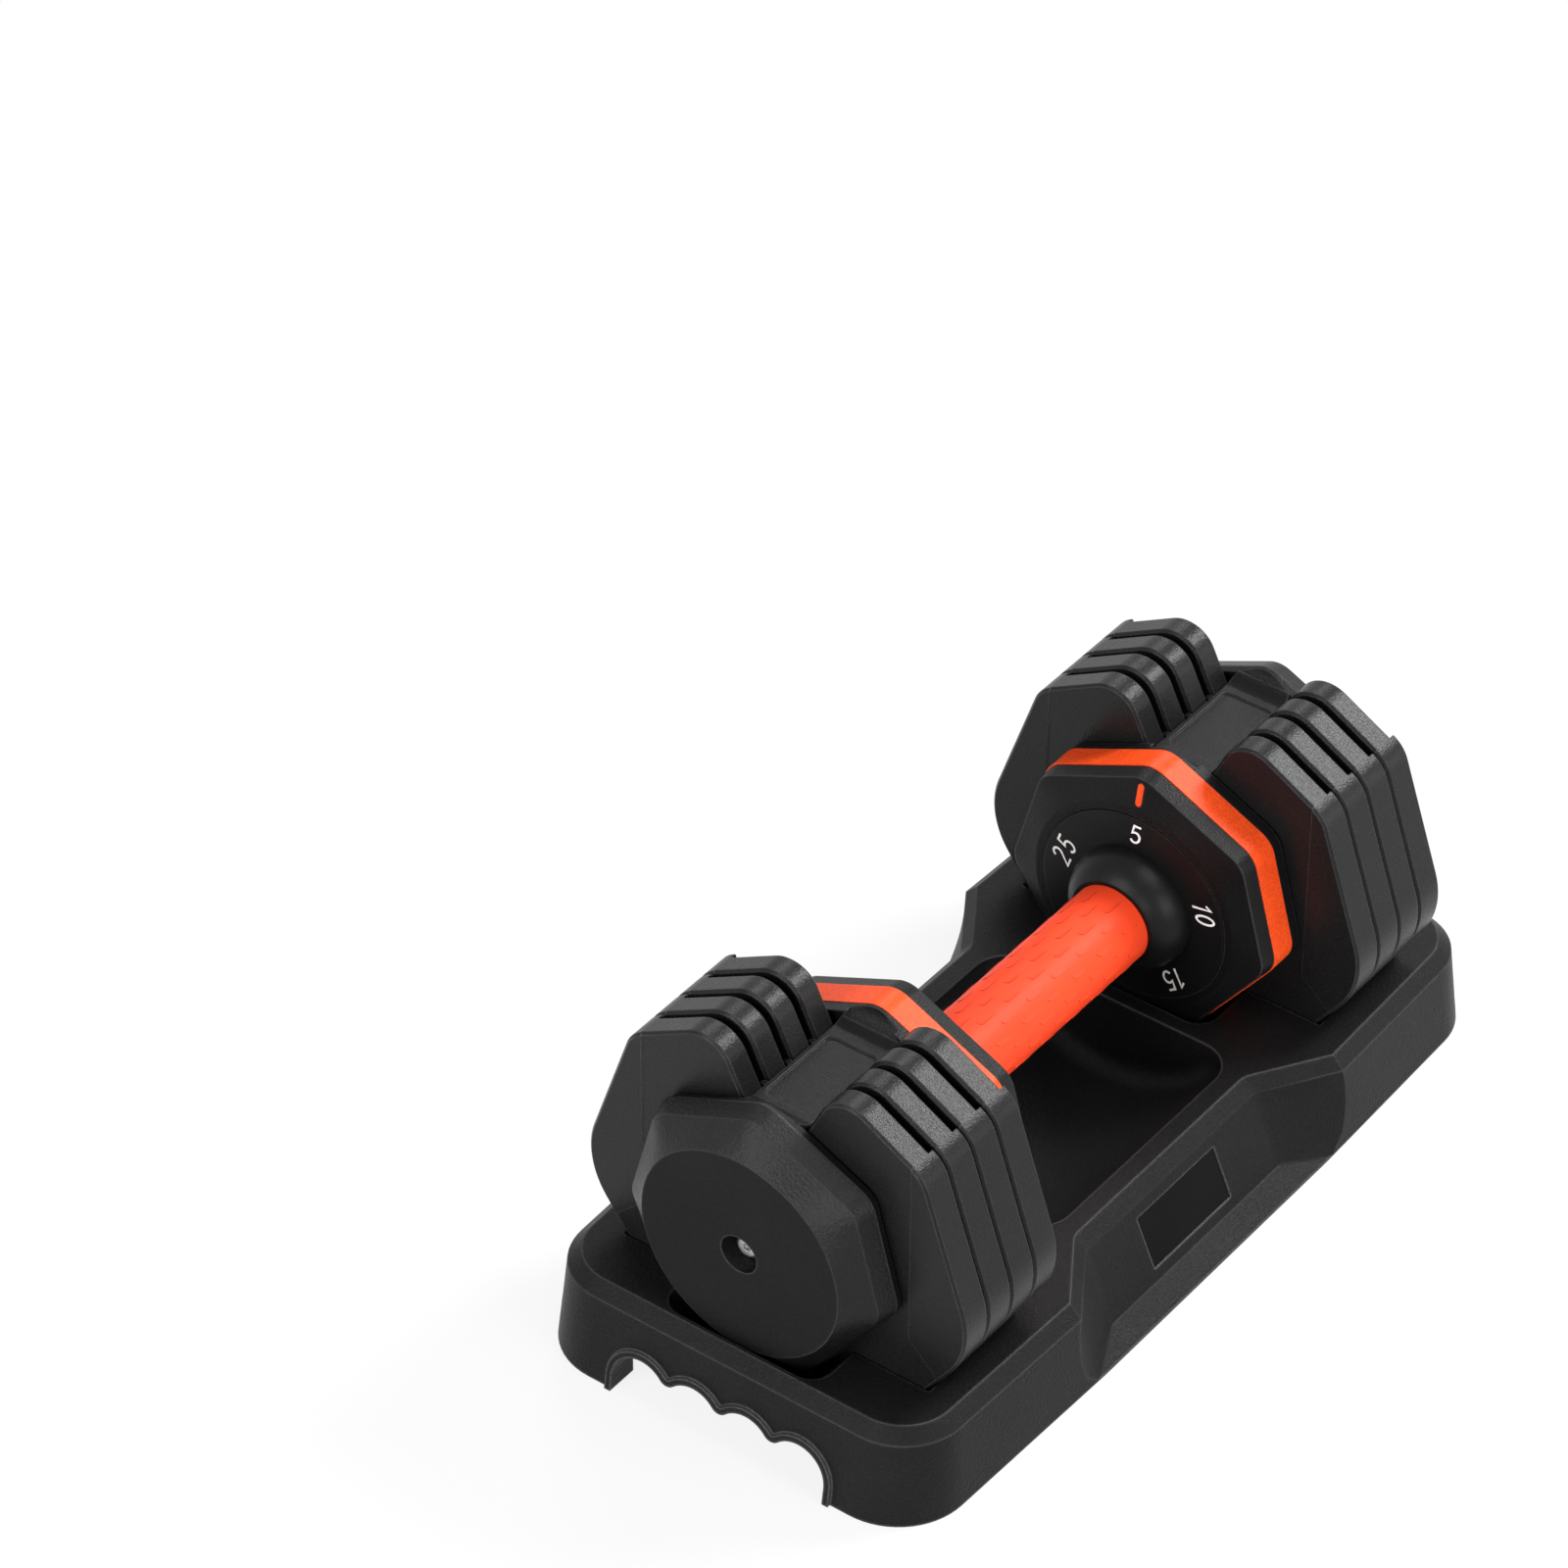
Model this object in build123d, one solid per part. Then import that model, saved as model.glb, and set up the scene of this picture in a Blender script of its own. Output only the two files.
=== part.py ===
from build123d import *
import math
import os

# An adjustable dumbbell resting in its storage tray, set to its lightest weight.
# Millimetres. X runs along the handle, Z is up, the floor is Z = 0 and the
# origin is under the middle of the tray.

# Clearances
RUN_FIT = 0.08          # radial, a shaft turning or sliding in its own bore
SEAT = 0.05             # radial, a piece seated in another
AIR = 0.3               # between pieces that pass each other
SLIDE_AIR = 0.6         # between the handle's bridge and the plates' slots

# Grip, tube and hubs, from the middle of the handle outwards
GRIP_HALF = 54.0        # half of the grip that shows
GRIP_RADIUS = 16.0
GRIP_RUBBER = 2.0
GRIP_TUCK = 3.0         # rubber hidden in each hub
TUBE_WALL = 2.0
HUB_LENGTH = 13.5
HUB_RADIUS = 25.0
HUB_NOSE_WALL = 1.6
HUB_SWELL = 1.5         # how far the hub's dome stands out of a straight cone

# Dial and inner heads
DIAL_RADIUS = 39.5
DIAL_THICKNESS = 3.0
DIAL_PROUD = 0.5
FRONT_DEPTH = 9.0       # front cover, ring face to band
FRONT_BEVEL = 2.5
RING_RADIUS = 43.4      # flat ring round the dial
BAND_WIDTH = 11.0
BAND_WALL = 3.0
REAR_DEPTH = 5.0
HEAD_APEX = 58.4        # seven-sided head outline, about the handle axis
HEAD_SHOULDER_Y = 45.0
HEAD_SHOULDER_Z = 37.7
HEAD_WIDE_Y = 57.0
HEAD_WIDE_Z = -7.0
HEAD_BASE_Y = 22.5
HEAD_DROP = 53.0
HEAD_CORNER = 11.0
COVER_STEP = 0.4        # covers stand in from the band by this
FRONT_STEP = 1.4        # the front cover's bevelled edge stands in from the band by this
INDEX_WIDTH = 2.4
INDEX_LENGTH = 9.0
INDEX_MIDDLE = 49.5     # above the axis
INDEX_PROUD = 0.3
INDEX_DEPTH = 1.5

# Selector and lock inside the heads
ROD_RADIUS = 4.0
SELECTOR_RADIUS = 11.2
SELECTOR_LENGTH = 78.0
SELECTOR_OUT = 0.5      # selector end past the rear cover at the lightest setting
KEYWAY_WIDTH = 4.0
KEYWAY_DEPTH = 1.7
BUSH_WALL = 3.2
BUSH_LENGTH = 5.2
PIN_RADIUS = 2.0
PIN_INSET = 5.5         # from the selector's inner end
SETTINGS = 5
DIAL_STEP = 72.0        # degrees between settings
CAM_CUTS = 5            # short straight cuts per dial step in the helical slot
LOCK_RING_RADIUS = 21.0
LOCK_RING_WIDTH = 4.0
LOCK_TRAVEL = 5.5
LOCK_SLIDER_WIDTH = 50.0
LOCK_SLIDER_THICKNESS = 3.0
LOCK_FRAME = 3.0
LOCK_TOOTH = 5.0
LOCK_STEM = 9.0
SPRING_RADIUS = 3.2
SPRING_WIRE = 0.9
GUIDE_RIB = 2.0
HEAD_SCREW_MARGIN = 1.0 # screw heads to the dial's rim
HEAD_SCREW_ANGLE = 24.0
HEAD_SCREW_RADIUS = 1.6
HEAD_SCREW_LENGTH = 12.0
HEAD_SCREW_HEAD = 3.0
HEAD_SCREW_HEAD_HEIGHT = 1.8
BOSS_RADIUS = 3.6

# Weight plates, about the handle axis
PLATE_COUNT = 4
PLATE_PITCH = 13.6
PLATE_THICKNESS = 10.3
PAD_FRONT = 0.4         # side pads, proud of the front face
PAD_BACK = 2.4          # and of the back face
PAD_Y = 57.3
PAD_Z = -22.0
PAD_SLOPE = 0.95
PLATE_LOBE_Y = 25.4
PLATE_LOBE_Z = 73.6
PLATE_SHOULDER_Y = 62.3
PLATE_SHOULDER_Z = 53.0
PLATE_WIDE_Y = 84.9
PLATE_WIDE_Z = -14.0
PLATE_BASE_Y = 42.5
PLATE_DROP = 73.0
PLATE_LOBE_CORNER = 13.0
PLATE_SHOULDER_CORNER = 14.0
PLATE_WIDE_CORNER = 34.0
PLATE_BASE_CORNER = 10.0
PLATE_RIM = 1.0         # rim chamfer
JACKET = 2.0            # plastic round the steel core's edge
JACKET_FACE = 0.8       # plastic on the steel core's faces
SLOT_HALF = 8.5
SLOT_DEPTH = 36.0       # below the axis
VEE_Z = 38.7            # where the slot opens into the vee
VEE_CORNER = 8.0
KEYHOLE_RADIUS = 11.7
NOTCH_RADIUS = 6.5

# Bridge between each inner head and its end cap
BRIDGE_TOP = 48.5       # above the axis
BRIDGE_SLAB = 3.0
BRIDGE_HALF = 12.4
SPINE_HALF = 6.5
SPINE_GAP = 1.8         # above the selector
FIN_HALF = 17.7
FIN_THICKNESS = 2.0
FIN_DROP = 26.0
FIN_CORNER = 5.5
FIN_BORE_GAP = 1.0
LABEL_DEPTH = 0.9
LABEL_CORNER = 3.0
LABEL_MARGIN = 1.8
LABEL_LENGTH = 38.0
DISH_RIM = 1.0          # cover left behind the dish above each bridge end
DISH_RADIUS = 11.0
DISH_SINK = 0.4         # how far the dish's curve would run into the bridge's top
KEY_DEPTH = 4.0         # rib on each rear cover that fills a plate slot
KEY_MARGIN = 3.0

# End caps
CAP_GAP = 0.6
CAP_PLATE = 3.2
CAP_STEP = 1.6          # the inner plate stands in from the head's outline by this
CAP_EDGE_STEP = 3.3     # the bevelled edge stands in from the head's outline by this
CAP_WALL_DEPTH = 7.5
CAP_BEVEL = 8.5
CAP_FACE_RADIUS = 42.0
CAP_SHELL = 3.2
CAP_BOSS_RADIUS = 11.0
CAP_HOLE_RADIUS = 7.6
CAP_HOLE_DEPTH = 9.0
CAP_WEB = 2.5
END_SCREW_RADIUS = 2.5
END_SCREW_LENGTH = 14.0
END_SCREW_HEAD = 5.0
END_SCREW_HEAD_HEIGHT = 3.5
END_SCREW_SOCKET = 1.7
WASHER_RADIUS = 6.8
WASHER_THICKNESS = 1.0

# Tray
AXIS_ABOVE_DECK = 41.0
TRAY_LIFT = 4.5         # plate pockets clear the floor by this
POCKET_FLOOR = 2.3
POCKET_SEAT = 0.2
POCKET_AIR = 0.9
TRAY_WALL = 3.0
DECK_END = 2.8          # cap face to the deck's end
DECK_SIDE = 13.4        # plate pocket to the deck's side, at the waist
SIDE_TAPER = 3.0        # the tray is this much narrower on each side at its ends
TAPER_FROM = 70.0       # X where the long sides begin to run in
DECK_BEVEL = 5.1
END_DRAFT = 5.0
SIDE_DRAFT = 2.5
DECK_CORNER = 20.0
FOOT_CORNER = 28.0
WAIST_HALF = 60.5
WAIST_RUN = 53.0
WAIST_END = 83.0        # X where the waist meets the full width
WAIST_CREASE_Z = 5.8    # height where the waist wall turns out to the foot
WAIST_CREASE_HALF = 78.0
WAIST_CORNER = 8.0
SCOOP_LENGTH = 119.0
SCOOP_HALF = 54.0
SCOOP_DEPTH = 28.0
SCOOP_CORNER = 14.0
SCOOP_DRAFT = 12.0
SCOOP_BLEND = 8.0
SCOOP_RIM = 1.0         # upright rim along the scoop's long sides
RECESS_HALF = 34.5
RECESS_FLOOR_HALF = 24.0
RECESS_DEPTH = 14.5
RECESS_CORNER = 9.0
RECESS_AIR = 2.2        # past the head's front ring
RECESS_CREST = 1.6      # deck left outside the cap recess
DIVIDER = 1.6
DIVIDER_TOP = 1.0       # below the deck at the sides
DIVIDER_DIP = 17.0      # below the deck in the middle
DIVIDER_KNEE = 33.0
DIVIDER_RISE = 14.0
DIVIDER_CORNER = 8.0
POST_WIDTH = 9.0
POST_DEPTH = 6.0
POST_REACH = 7.0        # into the head, past its lowest face
POST_RIB = 0.8
FINGER_PITCH = 22.8
FINGER_RADIUS = 12.1
FINGER_Z = 6.9
FINGER_LIP = 2.6
FINGER_CUSP = 4.0       # rounding of the points between the scallops
FINGER_LIP_PROUD = 1.4
BADGE_LENGTH = 48.0     # bare recessed panel on each waist wall
BADGE_HEIGHT = 21.0
BADGE_DEPTH = 0.8

# Places along X, worked out from the sizes
DIAL_FACE = GRIP_HALF + HUB_LENGTH
FRONT_FACE = DIAL_FACE + DIAL_PROUD
BAND_IN = FRONT_FACE + FRONT_DEPTH
BAND_OUT = BAND_IN + BAND_WIDTH
LOCK_LINE = BAND_IN + BAND_WIDTH / 2          # lock slider, lock ring and tray post
HEAD_REAR = BAND_OUT + REAR_DEPTH
STACK_IN = HEAD_REAR + AIR
STACK_OUT = STACK_IN + PLATE_COUNT * PLATE_PITCH
CAP_IN = STACK_OUT + CAP_GAP
CAP_SEAM = CAP_IN + CAP_PLATE
CAP_EDGE = CAP_SEAM + CAP_WALL_DEPTH
CAP_FACE = CAP_EDGE + CAP_BEVEL
HEAD_DISH = BAND_OUT + DISH_RIM + DISH_RADIUS          # axes of the dishes' curves
CAP_DISH = CAP_SEAM - DISH_RIM - DISH_RADIUS
CAP_HOLE_FLOOR = CAP_FACE - CAP_HOLE_DEPTH
ROD_END = CAP_HOLE_FLOOR - CAP_WEB
TUBE_RADIUS = GRIP_RADIUS - GRIP_RUBBER
TUBE_BORE = TUBE_RADIUS - TUBE_WALL
TUBE_END = LOCK_LINE + LOCK_RING_WIDTH / 2 + SEAT
SELECTOR_END = HEAD_REAR + SELECTOR_OUT
SELECTOR_START = SELECTOR_END - SELECTOR_LENGTH
SELECTOR_STROKE = (SETTINGS - 1) * PLATE_PITCH
DIAL_TURN = (SETTINGS - 1) * DIAL_STEP
PIN_X = SELECTOR_START + PIN_INSET
PIN_TIP = TUBE_RADIUS - AIR
HEAD_SCREW_CIRCLE = DIAL_RADIUS - HEAD_SCREW_HEAD - HEAD_SCREW_MARGIN
PAD_THICKNESS = PLATE_THICKNESS + PAD_FRONT + PAD_BACK

# Heights and widths, worked out from the sizes
PLATE_BOTTOM = TRAY_LIFT + POCKET_FLOOR + POCKET_SEAT
AXIS_Z = PLATE_BOTTOM + PLATE_DROP
DECK_Z = AXIS_Z - AXIS_ABOVE_DECK
SHOULDER_Z = DECK_Z - DECK_BEVEL
PLATE_SIDE_SLOPE = (PLATE_WIDE_Y - PLATE_BASE_Y) / (PLATE_WIDE_Z + PLATE_DROP)
POCKET_FLOOR_HALF = PLATE_BASE_Y + POCKET_AIR
POCKET_HALF = POCKET_FLOOR_HALF + PLATE_SIDE_SLOPE * (PLATE_DROP - AXIS_ABOVE_DECK)
DECK_HALF_X = CAP_FACE + DECK_END
DECK_HALF_Y = POCKET_HALF + DECK_SIDE
FOOT_HALF_X = DECK_HALF_X + DECK_BEVEL + END_DRAFT
FOOT_HALF_Y = DECK_HALF_Y + DECK_BEVEL + SIDE_DRAFT
LOCK_REST = POST_REACH - HEAD_DROP + AIR      # lock stem's foot, on the tray post
LOCK_TOP = LOCK_RING_RADIUS + 2 * AIR + LOCK_TRAVEL + LOCK_FRAME

SIDES = {"left": -1, "right": 1}
PARTS = "parts"


def save(node, shape):
    """Writes one piece, or a group of like pieces, under its node name."""
    export_step(shape, f"{PARTS}/{node}.step")


def axis_plane(x):
    """A plane across the handle at x: its own x is Y and its own y is the height above the axis."""
    return Plane(origin=(x, 0, AXIS_Z), x_dir=(0, 1, 0), z_dir=(1, 0, 0))


def prism(face, x_from, x_to):
    """A face drawn about the handle axis, carried along X."""
    return extrude(axis_plane(x_from) * face, amount=x_to - x_from)


def disc(radius, x_from, x_to):
    """A round bar on the handle axis."""
    return prism(Circle(radius), x_from, x_to)


def block(x_from, x_to, half_y, z_from, z_to, y=0.0):
    """A box along X, centred on y, with heights measured from the handle axis."""
    place = Pos((x_from + x_to) / 2, y, AXIS_Z + (z_from + z_to) / 2)
    return place * Box(x_to - x_from, 2 * half_y, z_to - z_from)


def rounded(points, radii):
    """A closed face through the points with a radius at each corner."""
    return make_face(FilletPolyline(*points, radius=radii, close=True))


def mirrored_points(half):
    """A symmetric outline from its +Y half, given from the bottom up."""
    return half + [(-y, z) for y, z in reversed(half)]


def to_side(shape, sign):
    """A piece made for the +X end, or its mirror image for the other end."""
    return shape if sign > 0 else mirror(shape, about=Plane.YZ)


# Seven-sided heads

def head_path(inset):
    """The head's outline, drawn in towards the axis by inset at its apex."""
    scale = 1 - inset / HEAD_APEX
    half = [
        (HEAD_BASE_Y, -HEAD_DROP),
        (HEAD_WIDE_Y, HEAD_WIDE_Z),
        (HEAD_SHOULDER_Y, HEAD_SHOULDER_Z),
    ]
    corners = half + [(0, HEAD_APEX)] + [(-y, z) for y, z in reversed(half)]
    points = [(y * scale, z * scale) for y, z in corners]
    return FilletPolyline(*points, radius=HEAD_CORNER * scale, close=True)


def head_face(inset):
    return make_face(head_path(inset))


def round_face_under(inset, radius):
    """A circle cut into arcs that answer the edges of the head outline, for a smooth bevel."""
    arcs = []
    for edge in head_path(inset).order_edges():
        start = edge @ 0
        middle = edge @ 0.5
        end = edge @ 1
        on_circle = [point * (radius / point.length) for point in (start, middle, end)]
        arcs.append(ThreePointArc(*on_circle))
    return make_face(arcs)


def head_loft(x_from, inset_from, x_to, inset_to):
    sections = [axis_plane(x_from) * head_face(inset_from), axis_plane(x_to) * head_face(inset_to)]
    return loft(sections, ruled=True)


def bevel_loft(x_edge, inset, x_face, radius):
    """The bevel from a seven-sided edge to a round flat face."""
    sections = [axis_plane(x_edge) * head_face(inset), axis_plane(x_face) * round_face_under(inset, radius)]
    return loft(sections, ruled=True)


def head_screw_spots():
    angle = math.radians(HEAD_SCREW_ANGLE)
    y = HEAD_SCREW_CIRCLE * math.cos(angle)
    z = HEAD_SCREW_CIRCLE * math.sin(angle)
    return [(y, z), (-y, z), (-y, -z), (y, -z)]


def at_spots(face, spots):
    """Copies of a small face at points about the handle axis."""
    return [Pos(y, z) * face for y, z in spots]


def prisms(faces, x_from, x_to):
    solids = [prism(face, x_from, x_to) for face in faces]
    return Part() + solids


DIAL_SEAT = DIAL_FACE + DIAL_THICKNESS + AIR          # floor of the dial's recess
SCREW_SEAT = DIAL_SEAT + HEAD_SCREW_HEAD_HEIGHT + AIR
SCREW_TIP = SCREW_SEAT + HEAD_SCREW_LENGTH
FRONT_EDGE = FRONT_FACE + FRONT_BEVEL


def index_pill(grow):
    height = INDEX_LENGTH + 2 * grow
    width = INDEX_WIDTH + 2 * grow
    return Pos(0, INDEX_MIDDLE) * SlotOverall(height, width, rotation=90)


def front_cover_block():
    bevel = bevel_loft(FRONT_EDGE, FRONT_STEP, FRONT_FACE, RING_RADIUS)
    wall = head_loft(FRONT_EDGE, FRONT_STEP, BAND_IN, COVER_STEP)
    return bevel + wall


def make_front_cover():
    """Bevelled cover that carries the dial in a round recess."""
    cover = front_cover_block()
    cover -= disc(DIAL_RADIUS + AIR, FRONT_FACE - 1, DIAL_SEAT)
    cover -= disc(TUBE_RADIUS + RUN_FIT, FRONT_FACE - 1, BAND_IN + 1)
    spots = head_screw_spots()
    cover -= prisms(at_spots(Circle(HEAD_SCREW_HEAD + AIR), spots), DIAL_SEAT - 1, SCREW_SEAT)
    cover -= prisms(at_spots(Circle(HEAD_SCREW_RADIUS + SEAT), spots), SCREW_SEAT - 1, BAND_IN + 1)
    cover -= make_index_mark(SEAT)
    return cover


def make_index_mark(grow=0.0):
    """Orange mark set into the bevel above the dial, standing a little proud of it."""
    skin = Pos(-INDEX_PROUD - grow, 0, 0) * front_cover_block()
    deep = Pos(INDEX_DEPTH + grow, 0, 0) * front_cover_block()
    return prism(index_pill(grow), FRONT_FACE - 1, BAND_IN) & (skin - deep)


def make_band():
    """Coloured band between the covers, open below for the tray post."""
    band = prism(head_face(0), BAND_IN, BAND_OUT) - prism(head_face(BAND_WALL), BAND_IN - 1, BAND_OUT + 1)
    half_x = POST_DEPTH / 2 + 2 * SLIDE_AIR
    half_y = POST_WIDTH / 2 + 2 * SLIDE_AIR
    slot_top = POST_REACH - HEAD_DROP
    return band - block(LOCK_LINE - half_x, LOCK_LINE + half_x, half_y, -HEAD_DROP - 1, slot_top)


def make_rear_cover():
    """Thin cover on the plate side, with the lock's guide ribs, screw bosses and a slot key."""
    cover = head_loft(BAND_OUT, COVER_STEP / 2, HEAD_REAR, COVER_STEP)
    cover -= disc(SELECTOR_RADIUS + BUSH_WALL + SEAT, BAND_OUT - 1, HEAD_REAR + 1)
    cover -= prism(dish_arch(), BAND_OUT, HEAD_REAR + 1) & dish_trough(HEAD_DISH)
    key_top = -SELECTOR_RADIUS - BUSH_WALL - SPINE_GAP
    cover += block(HEAD_REAR, HEAD_REAR + KEY_DEPTH, SPINE_HALF, KEY_MARGIN - SLOT_DEPTH, key_top)
    rib_y = LOCK_SLIDER_WIDTH / 2 + AIR + GUIDE_RIB / 2
    rib_start = LOCK_LINE - LOCK_SLIDER_THICKNESS / 2
    for y in (-rib_y, rib_y):
        cover += block(rib_start, BAND_OUT, GUIDE_RIB / 2, -LOCK_RING_RADIUS, LOCK_RING_RADIUS, y)
    spots = head_screw_spots()
    cover += prisms(at_spots(Circle(BOSS_RADIUS), spots), BAND_IN, BAND_OUT)
    return cover - prisms(at_spots(Circle(HEAD_SCREW_RADIUS + SEAT), spots), BAND_IN - 1, SCREW_TIP + AIR)


def make_head_screws():
    """Screws from behind the dial into the rear cover's bosses."""
    head_start = SCREW_SEAT - HEAD_SCREW_HEAD_HEIGHT
    socket = RegularPolygon(HEAD_SCREW_RADIUS, 6)
    screws = []
    for y, z in head_screw_spots():
        place = Pos(y, z)
        screw = prism(place * Circle(HEAD_SCREW_HEAD), head_start, SCREW_SEAT)
        screw -= prism(place * socket, head_start - 1, SCREW_SEAT - 2 * AIR)
        screw += prism(place * Circle(HEAD_SCREW_RADIUS), SCREW_SEAT - AIR, SCREW_TIP)
        screws.append(screw.solid())
    return Compound(children=screws)


# Dial, hub, grip and cam tube

def make_dial():
    return disc(DIAL_RADIUS, DIAL_FACE, DIAL_FACE + DIAL_THICKNESS) - disc(
        TUBE_RADIUS + SEAT, DIAL_FACE - 1, DIAL_FACE + DIAL_THICKNESS + 1
    )


def make_hub():
    """Domed hub that hides the grip's end and carries the dial."""
    nose = GRIP_RADIUS + SEAT + HUB_NOSE_WALL
    middle = ((GRIP_HALF + DIAL_FACE) / 2 - HUB_SWELL, (nose + HUB_RADIUS) / 2 + HUB_SWELL)
    tuck = GRIP_HALF + GRIP_TUCK + SEAT
    dome = ThreePointArc((GRIP_HALF, nose), middle, (DIAL_FACE, HUB_RADIUS))
    rest = Polyline(
        (DIAL_FACE, HUB_RADIUS),
        (DIAL_FACE, TUBE_RADIUS + SEAT),
        (tuck, TUBE_RADIUS + SEAT),
        (tuck, GRIP_RADIUS + SEAT),
        (GRIP_HALF, GRIP_RADIUS + SEAT),
        (GRIP_HALF, nose),
    )
    profile = Plane(origin=(0, 0, AXIS_Z), x_dir=(1, 0, 0), z_dir=(0, -1, 0)) * make_face([dome, rest])
    return revolve(profile, axis=Axis((0, 0, AXIS_Z), (1, 0, 0)))


def make_grip():
    half = GRIP_HALF + GRIP_TUCK
    return disc(GRIP_RADIUS, -half, half) - disc(TUBE_RADIUS + SEAT, -half - 1, half + 1)


def cam_slot():
    """Helical slot of one end as a run of short straight cuts, each laid along the helix."""
    steps = CAM_CUTS * (SETTINGS - 1)
    middle = TUBE_RADIUS - TUBE_WALL / 2
    rise = SELECTOR_STROKE / steps
    turn = DIAL_TURN / steps
    sweep_arc = math.radians(turn) * middle
    lay = math.degrees(math.atan2(sweep_arc, rise))
    width = 2 * (PIN_RADIUS + AIR)
    length = math.hypot(rise, sweep_arc) + AIR
    cuts = []
    for step in range(steps):
        along = PIN_X + (step + 0.5) * rise
        cut = Rot(0, 0, -lay) * Box(length, width, 3 * TUBE_WALL)
        cuts.append(Pos(along, 0, AXIS_Z) * Rot((step + 0.5) * turn, 0, 0) * Pos(0, 0, middle) * cut)
    for step in range(steps + 1):
        along = PIN_X + step * rise
        turned = Rot(step * turn, 0, 0) * Pos(0, 0, middle)
        cuts.append(Pos(along, 0, AXIS_Z) * turned * Cylinder(PIN_RADIUS + AIR, 3 * TUBE_WALL))
    return cuts


def make_cam_tube():
    """Steel tube under the grip, with one helical slot for each selector's drive pin."""
    tube = disc(TUBE_RADIUS, -TUBE_END, TUBE_END) - disc(TUBE_BORE, -TUBE_END - 1, TUBE_END + 1)
    slot = Part() + cam_slot()
    return tube - slot - mirror(slot, about=Plane.YZ)


def make_lock_ring():
    """Ring with one notch per setting, which the lock slider's tooth drops into."""
    start = LOCK_LINE - LOCK_RING_WIDTH / 2
    ring = disc(LOCK_RING_RADIUS, start, start + LOCK_RING_WIDTH)
    ring -= disc(TUBE_RADIUS + SEAT, start - 1, start + LOCK_RING_WIDTH + 1)
    notch_floor = LOCK_RING_RADIUS - LOCK_TRAVEL
    notch = Pos(0, (notch_floor + LOCK_RING_RADIUS + 1) / 2) * Rectangle(
        LOCK_TOOTH + 2 * AIR, LOCK_RING_RADIUS + 1 - notch_floor
    )
    for setting in range(SETTINGS):
        ring -= prism(Rot(0, 0, setting * DIAL_STEP) * notch, start - 1, start + LOCK_RING_WIDTH + 1)
    return ring


# Selector, guide bush, rod and lock

def make_selector():
    """Steel sleeve that slides out through the plates' keyholes."""
    sleeve = disc(SELECTOR_RADIUS, SELECTOR_START, SELECTOR_END)
    sleeve = chamfer(sleeve.edges().group_by(Axis.X)[-1], KEYWAY_DEPTH / 2)
    sleeve -= disc(ROD_RADIUS + RUN_FIT, SELECTOR_START - 1, SELECTOR_END + 1)
    floor = SELECTOR_RADIUS - KEYWAY_DEPTH
    sleeve -= block(SELECTOR_START - 1, SELECTOR_END + 1, KEYWAY_WIDTH / 2, -SELECTOR_RADIUS - 1, -floor)
    return sleeve - Pos(PIN_X, 0, AXIS_Z + SELECTOR_RADIUS) * Cylinder(PIN_RADIUS + SEAT, SELECTOR_RADIUS)


def make_drive_pin():
    foot = SELECTOR_RADIUS / 2 + SEAT
    return Pos(PIN_X, 0, AXIS_Z + (foot + PIN_TIP) / 2) * Cylinder(PIN_RADIUS, PIN_TIP - foot)


def make_guide_bush():
    """Bearing for the selector in the rear cover, with a key that stops it turning."""
    start = HEAD_REAR - BUSH_LENGTH
    bush = disc(SELECTOR_RADIUS + BUSH_WALL, start, HEAD_REAR)
    bush -= disc(SELECTOR_RADIUS + RUN_FIT, start - 1, HEAD_REAR + 1)
    key_half = KEYWAY_WIDTH / 2 - RUN_FIT
    key_top = KEYWAY_DEPTH - AIR - SELECTOR_RADIUS
    return bush + block(start, HEAD_REAR, key_half, -SELECTOR_RADIUS - BUSH_WALL / 2, key_top)


def make_tie_rod():
    rod = disc(ROD_RADIUS, -ROD_END, ROD_END)
    thread = disc(END_SCREW_RADIUS, ROD_END - END_SCREW_LENGTH, ROD_END + 1)
    return rod - thread - mirror(thread, about=Plane.YZ)


def make_lock_slider():
    """Frame round the lock ring with a tooth above it and a stem that meets the tray post."""
    start = LOCK_LINE - LOCK_SLIDER_THICKNESS / 2
    end = start + LOCK_SLIDER_THICKNESS
    half = LOCK_SLIDER_WIDTH / 2
    foot = -LOCK_RING_RADIUS - AIR - LOCK_FRAME
    frame = block(start, end, half, foot, LOCK_TOP)
    frame -= block(start - 1, end + 1, half - LOCK_FRAME, foot + LOCK_FRAME, LOCK_TOP - LOCK_FRAME)
    frame += block(start, end, LOCK_TOOTH / 2, LOCK_RING_RADIUS + AIR, LOCK_TOP - LOCK_FRAME / 2)
    frame += block(start, end, LOCK_STEM / 2, LOCK_REST, foot + LOCK_FRAME / 2)
    stud_radius = SPRING_RADIUS - SPRING_WIRE - AIR
    stud = Pos(LOCK_LINE, 0, AXIS_Z + LOCK_TOP + LOCK_FRAME / 2) * Cylinder(stud_radius, 2 * LOCK_FRAME)
    return frame + (stud & block(start, end, half, LOCK_TOP - LOCK_FRAME / 2, LOCK_TOP + 2 * LOCK_FRAME))


def make_lock_spring():
    """Return spring between the lock slider and the top of the band."""
    top = head_path(BAND_WALL).bounding_box().max.Y - 2 * AIR
    height = top - LOCK_TOP
    spring = Cylinder(SPRING_RADIUS, height) - Cylinder(SPRING_RADIUS - SPRING_WIRE, height + 1)
    return Pos(LOCK_LINE, 0, AXIS_Z + LOCK_TOP + height / 2) * spring


# Bridge and end cap

def gap_middles(sign):
    """X of the three gaps between neighbouring plates of one stack, which the fins stand in."""
    gap_half = (PLATE_PITCH - PLATE_THICKNESS) / 2
    return [plate_front(sign, number) - gap_half for number in fin_numbers(sign)]


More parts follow.
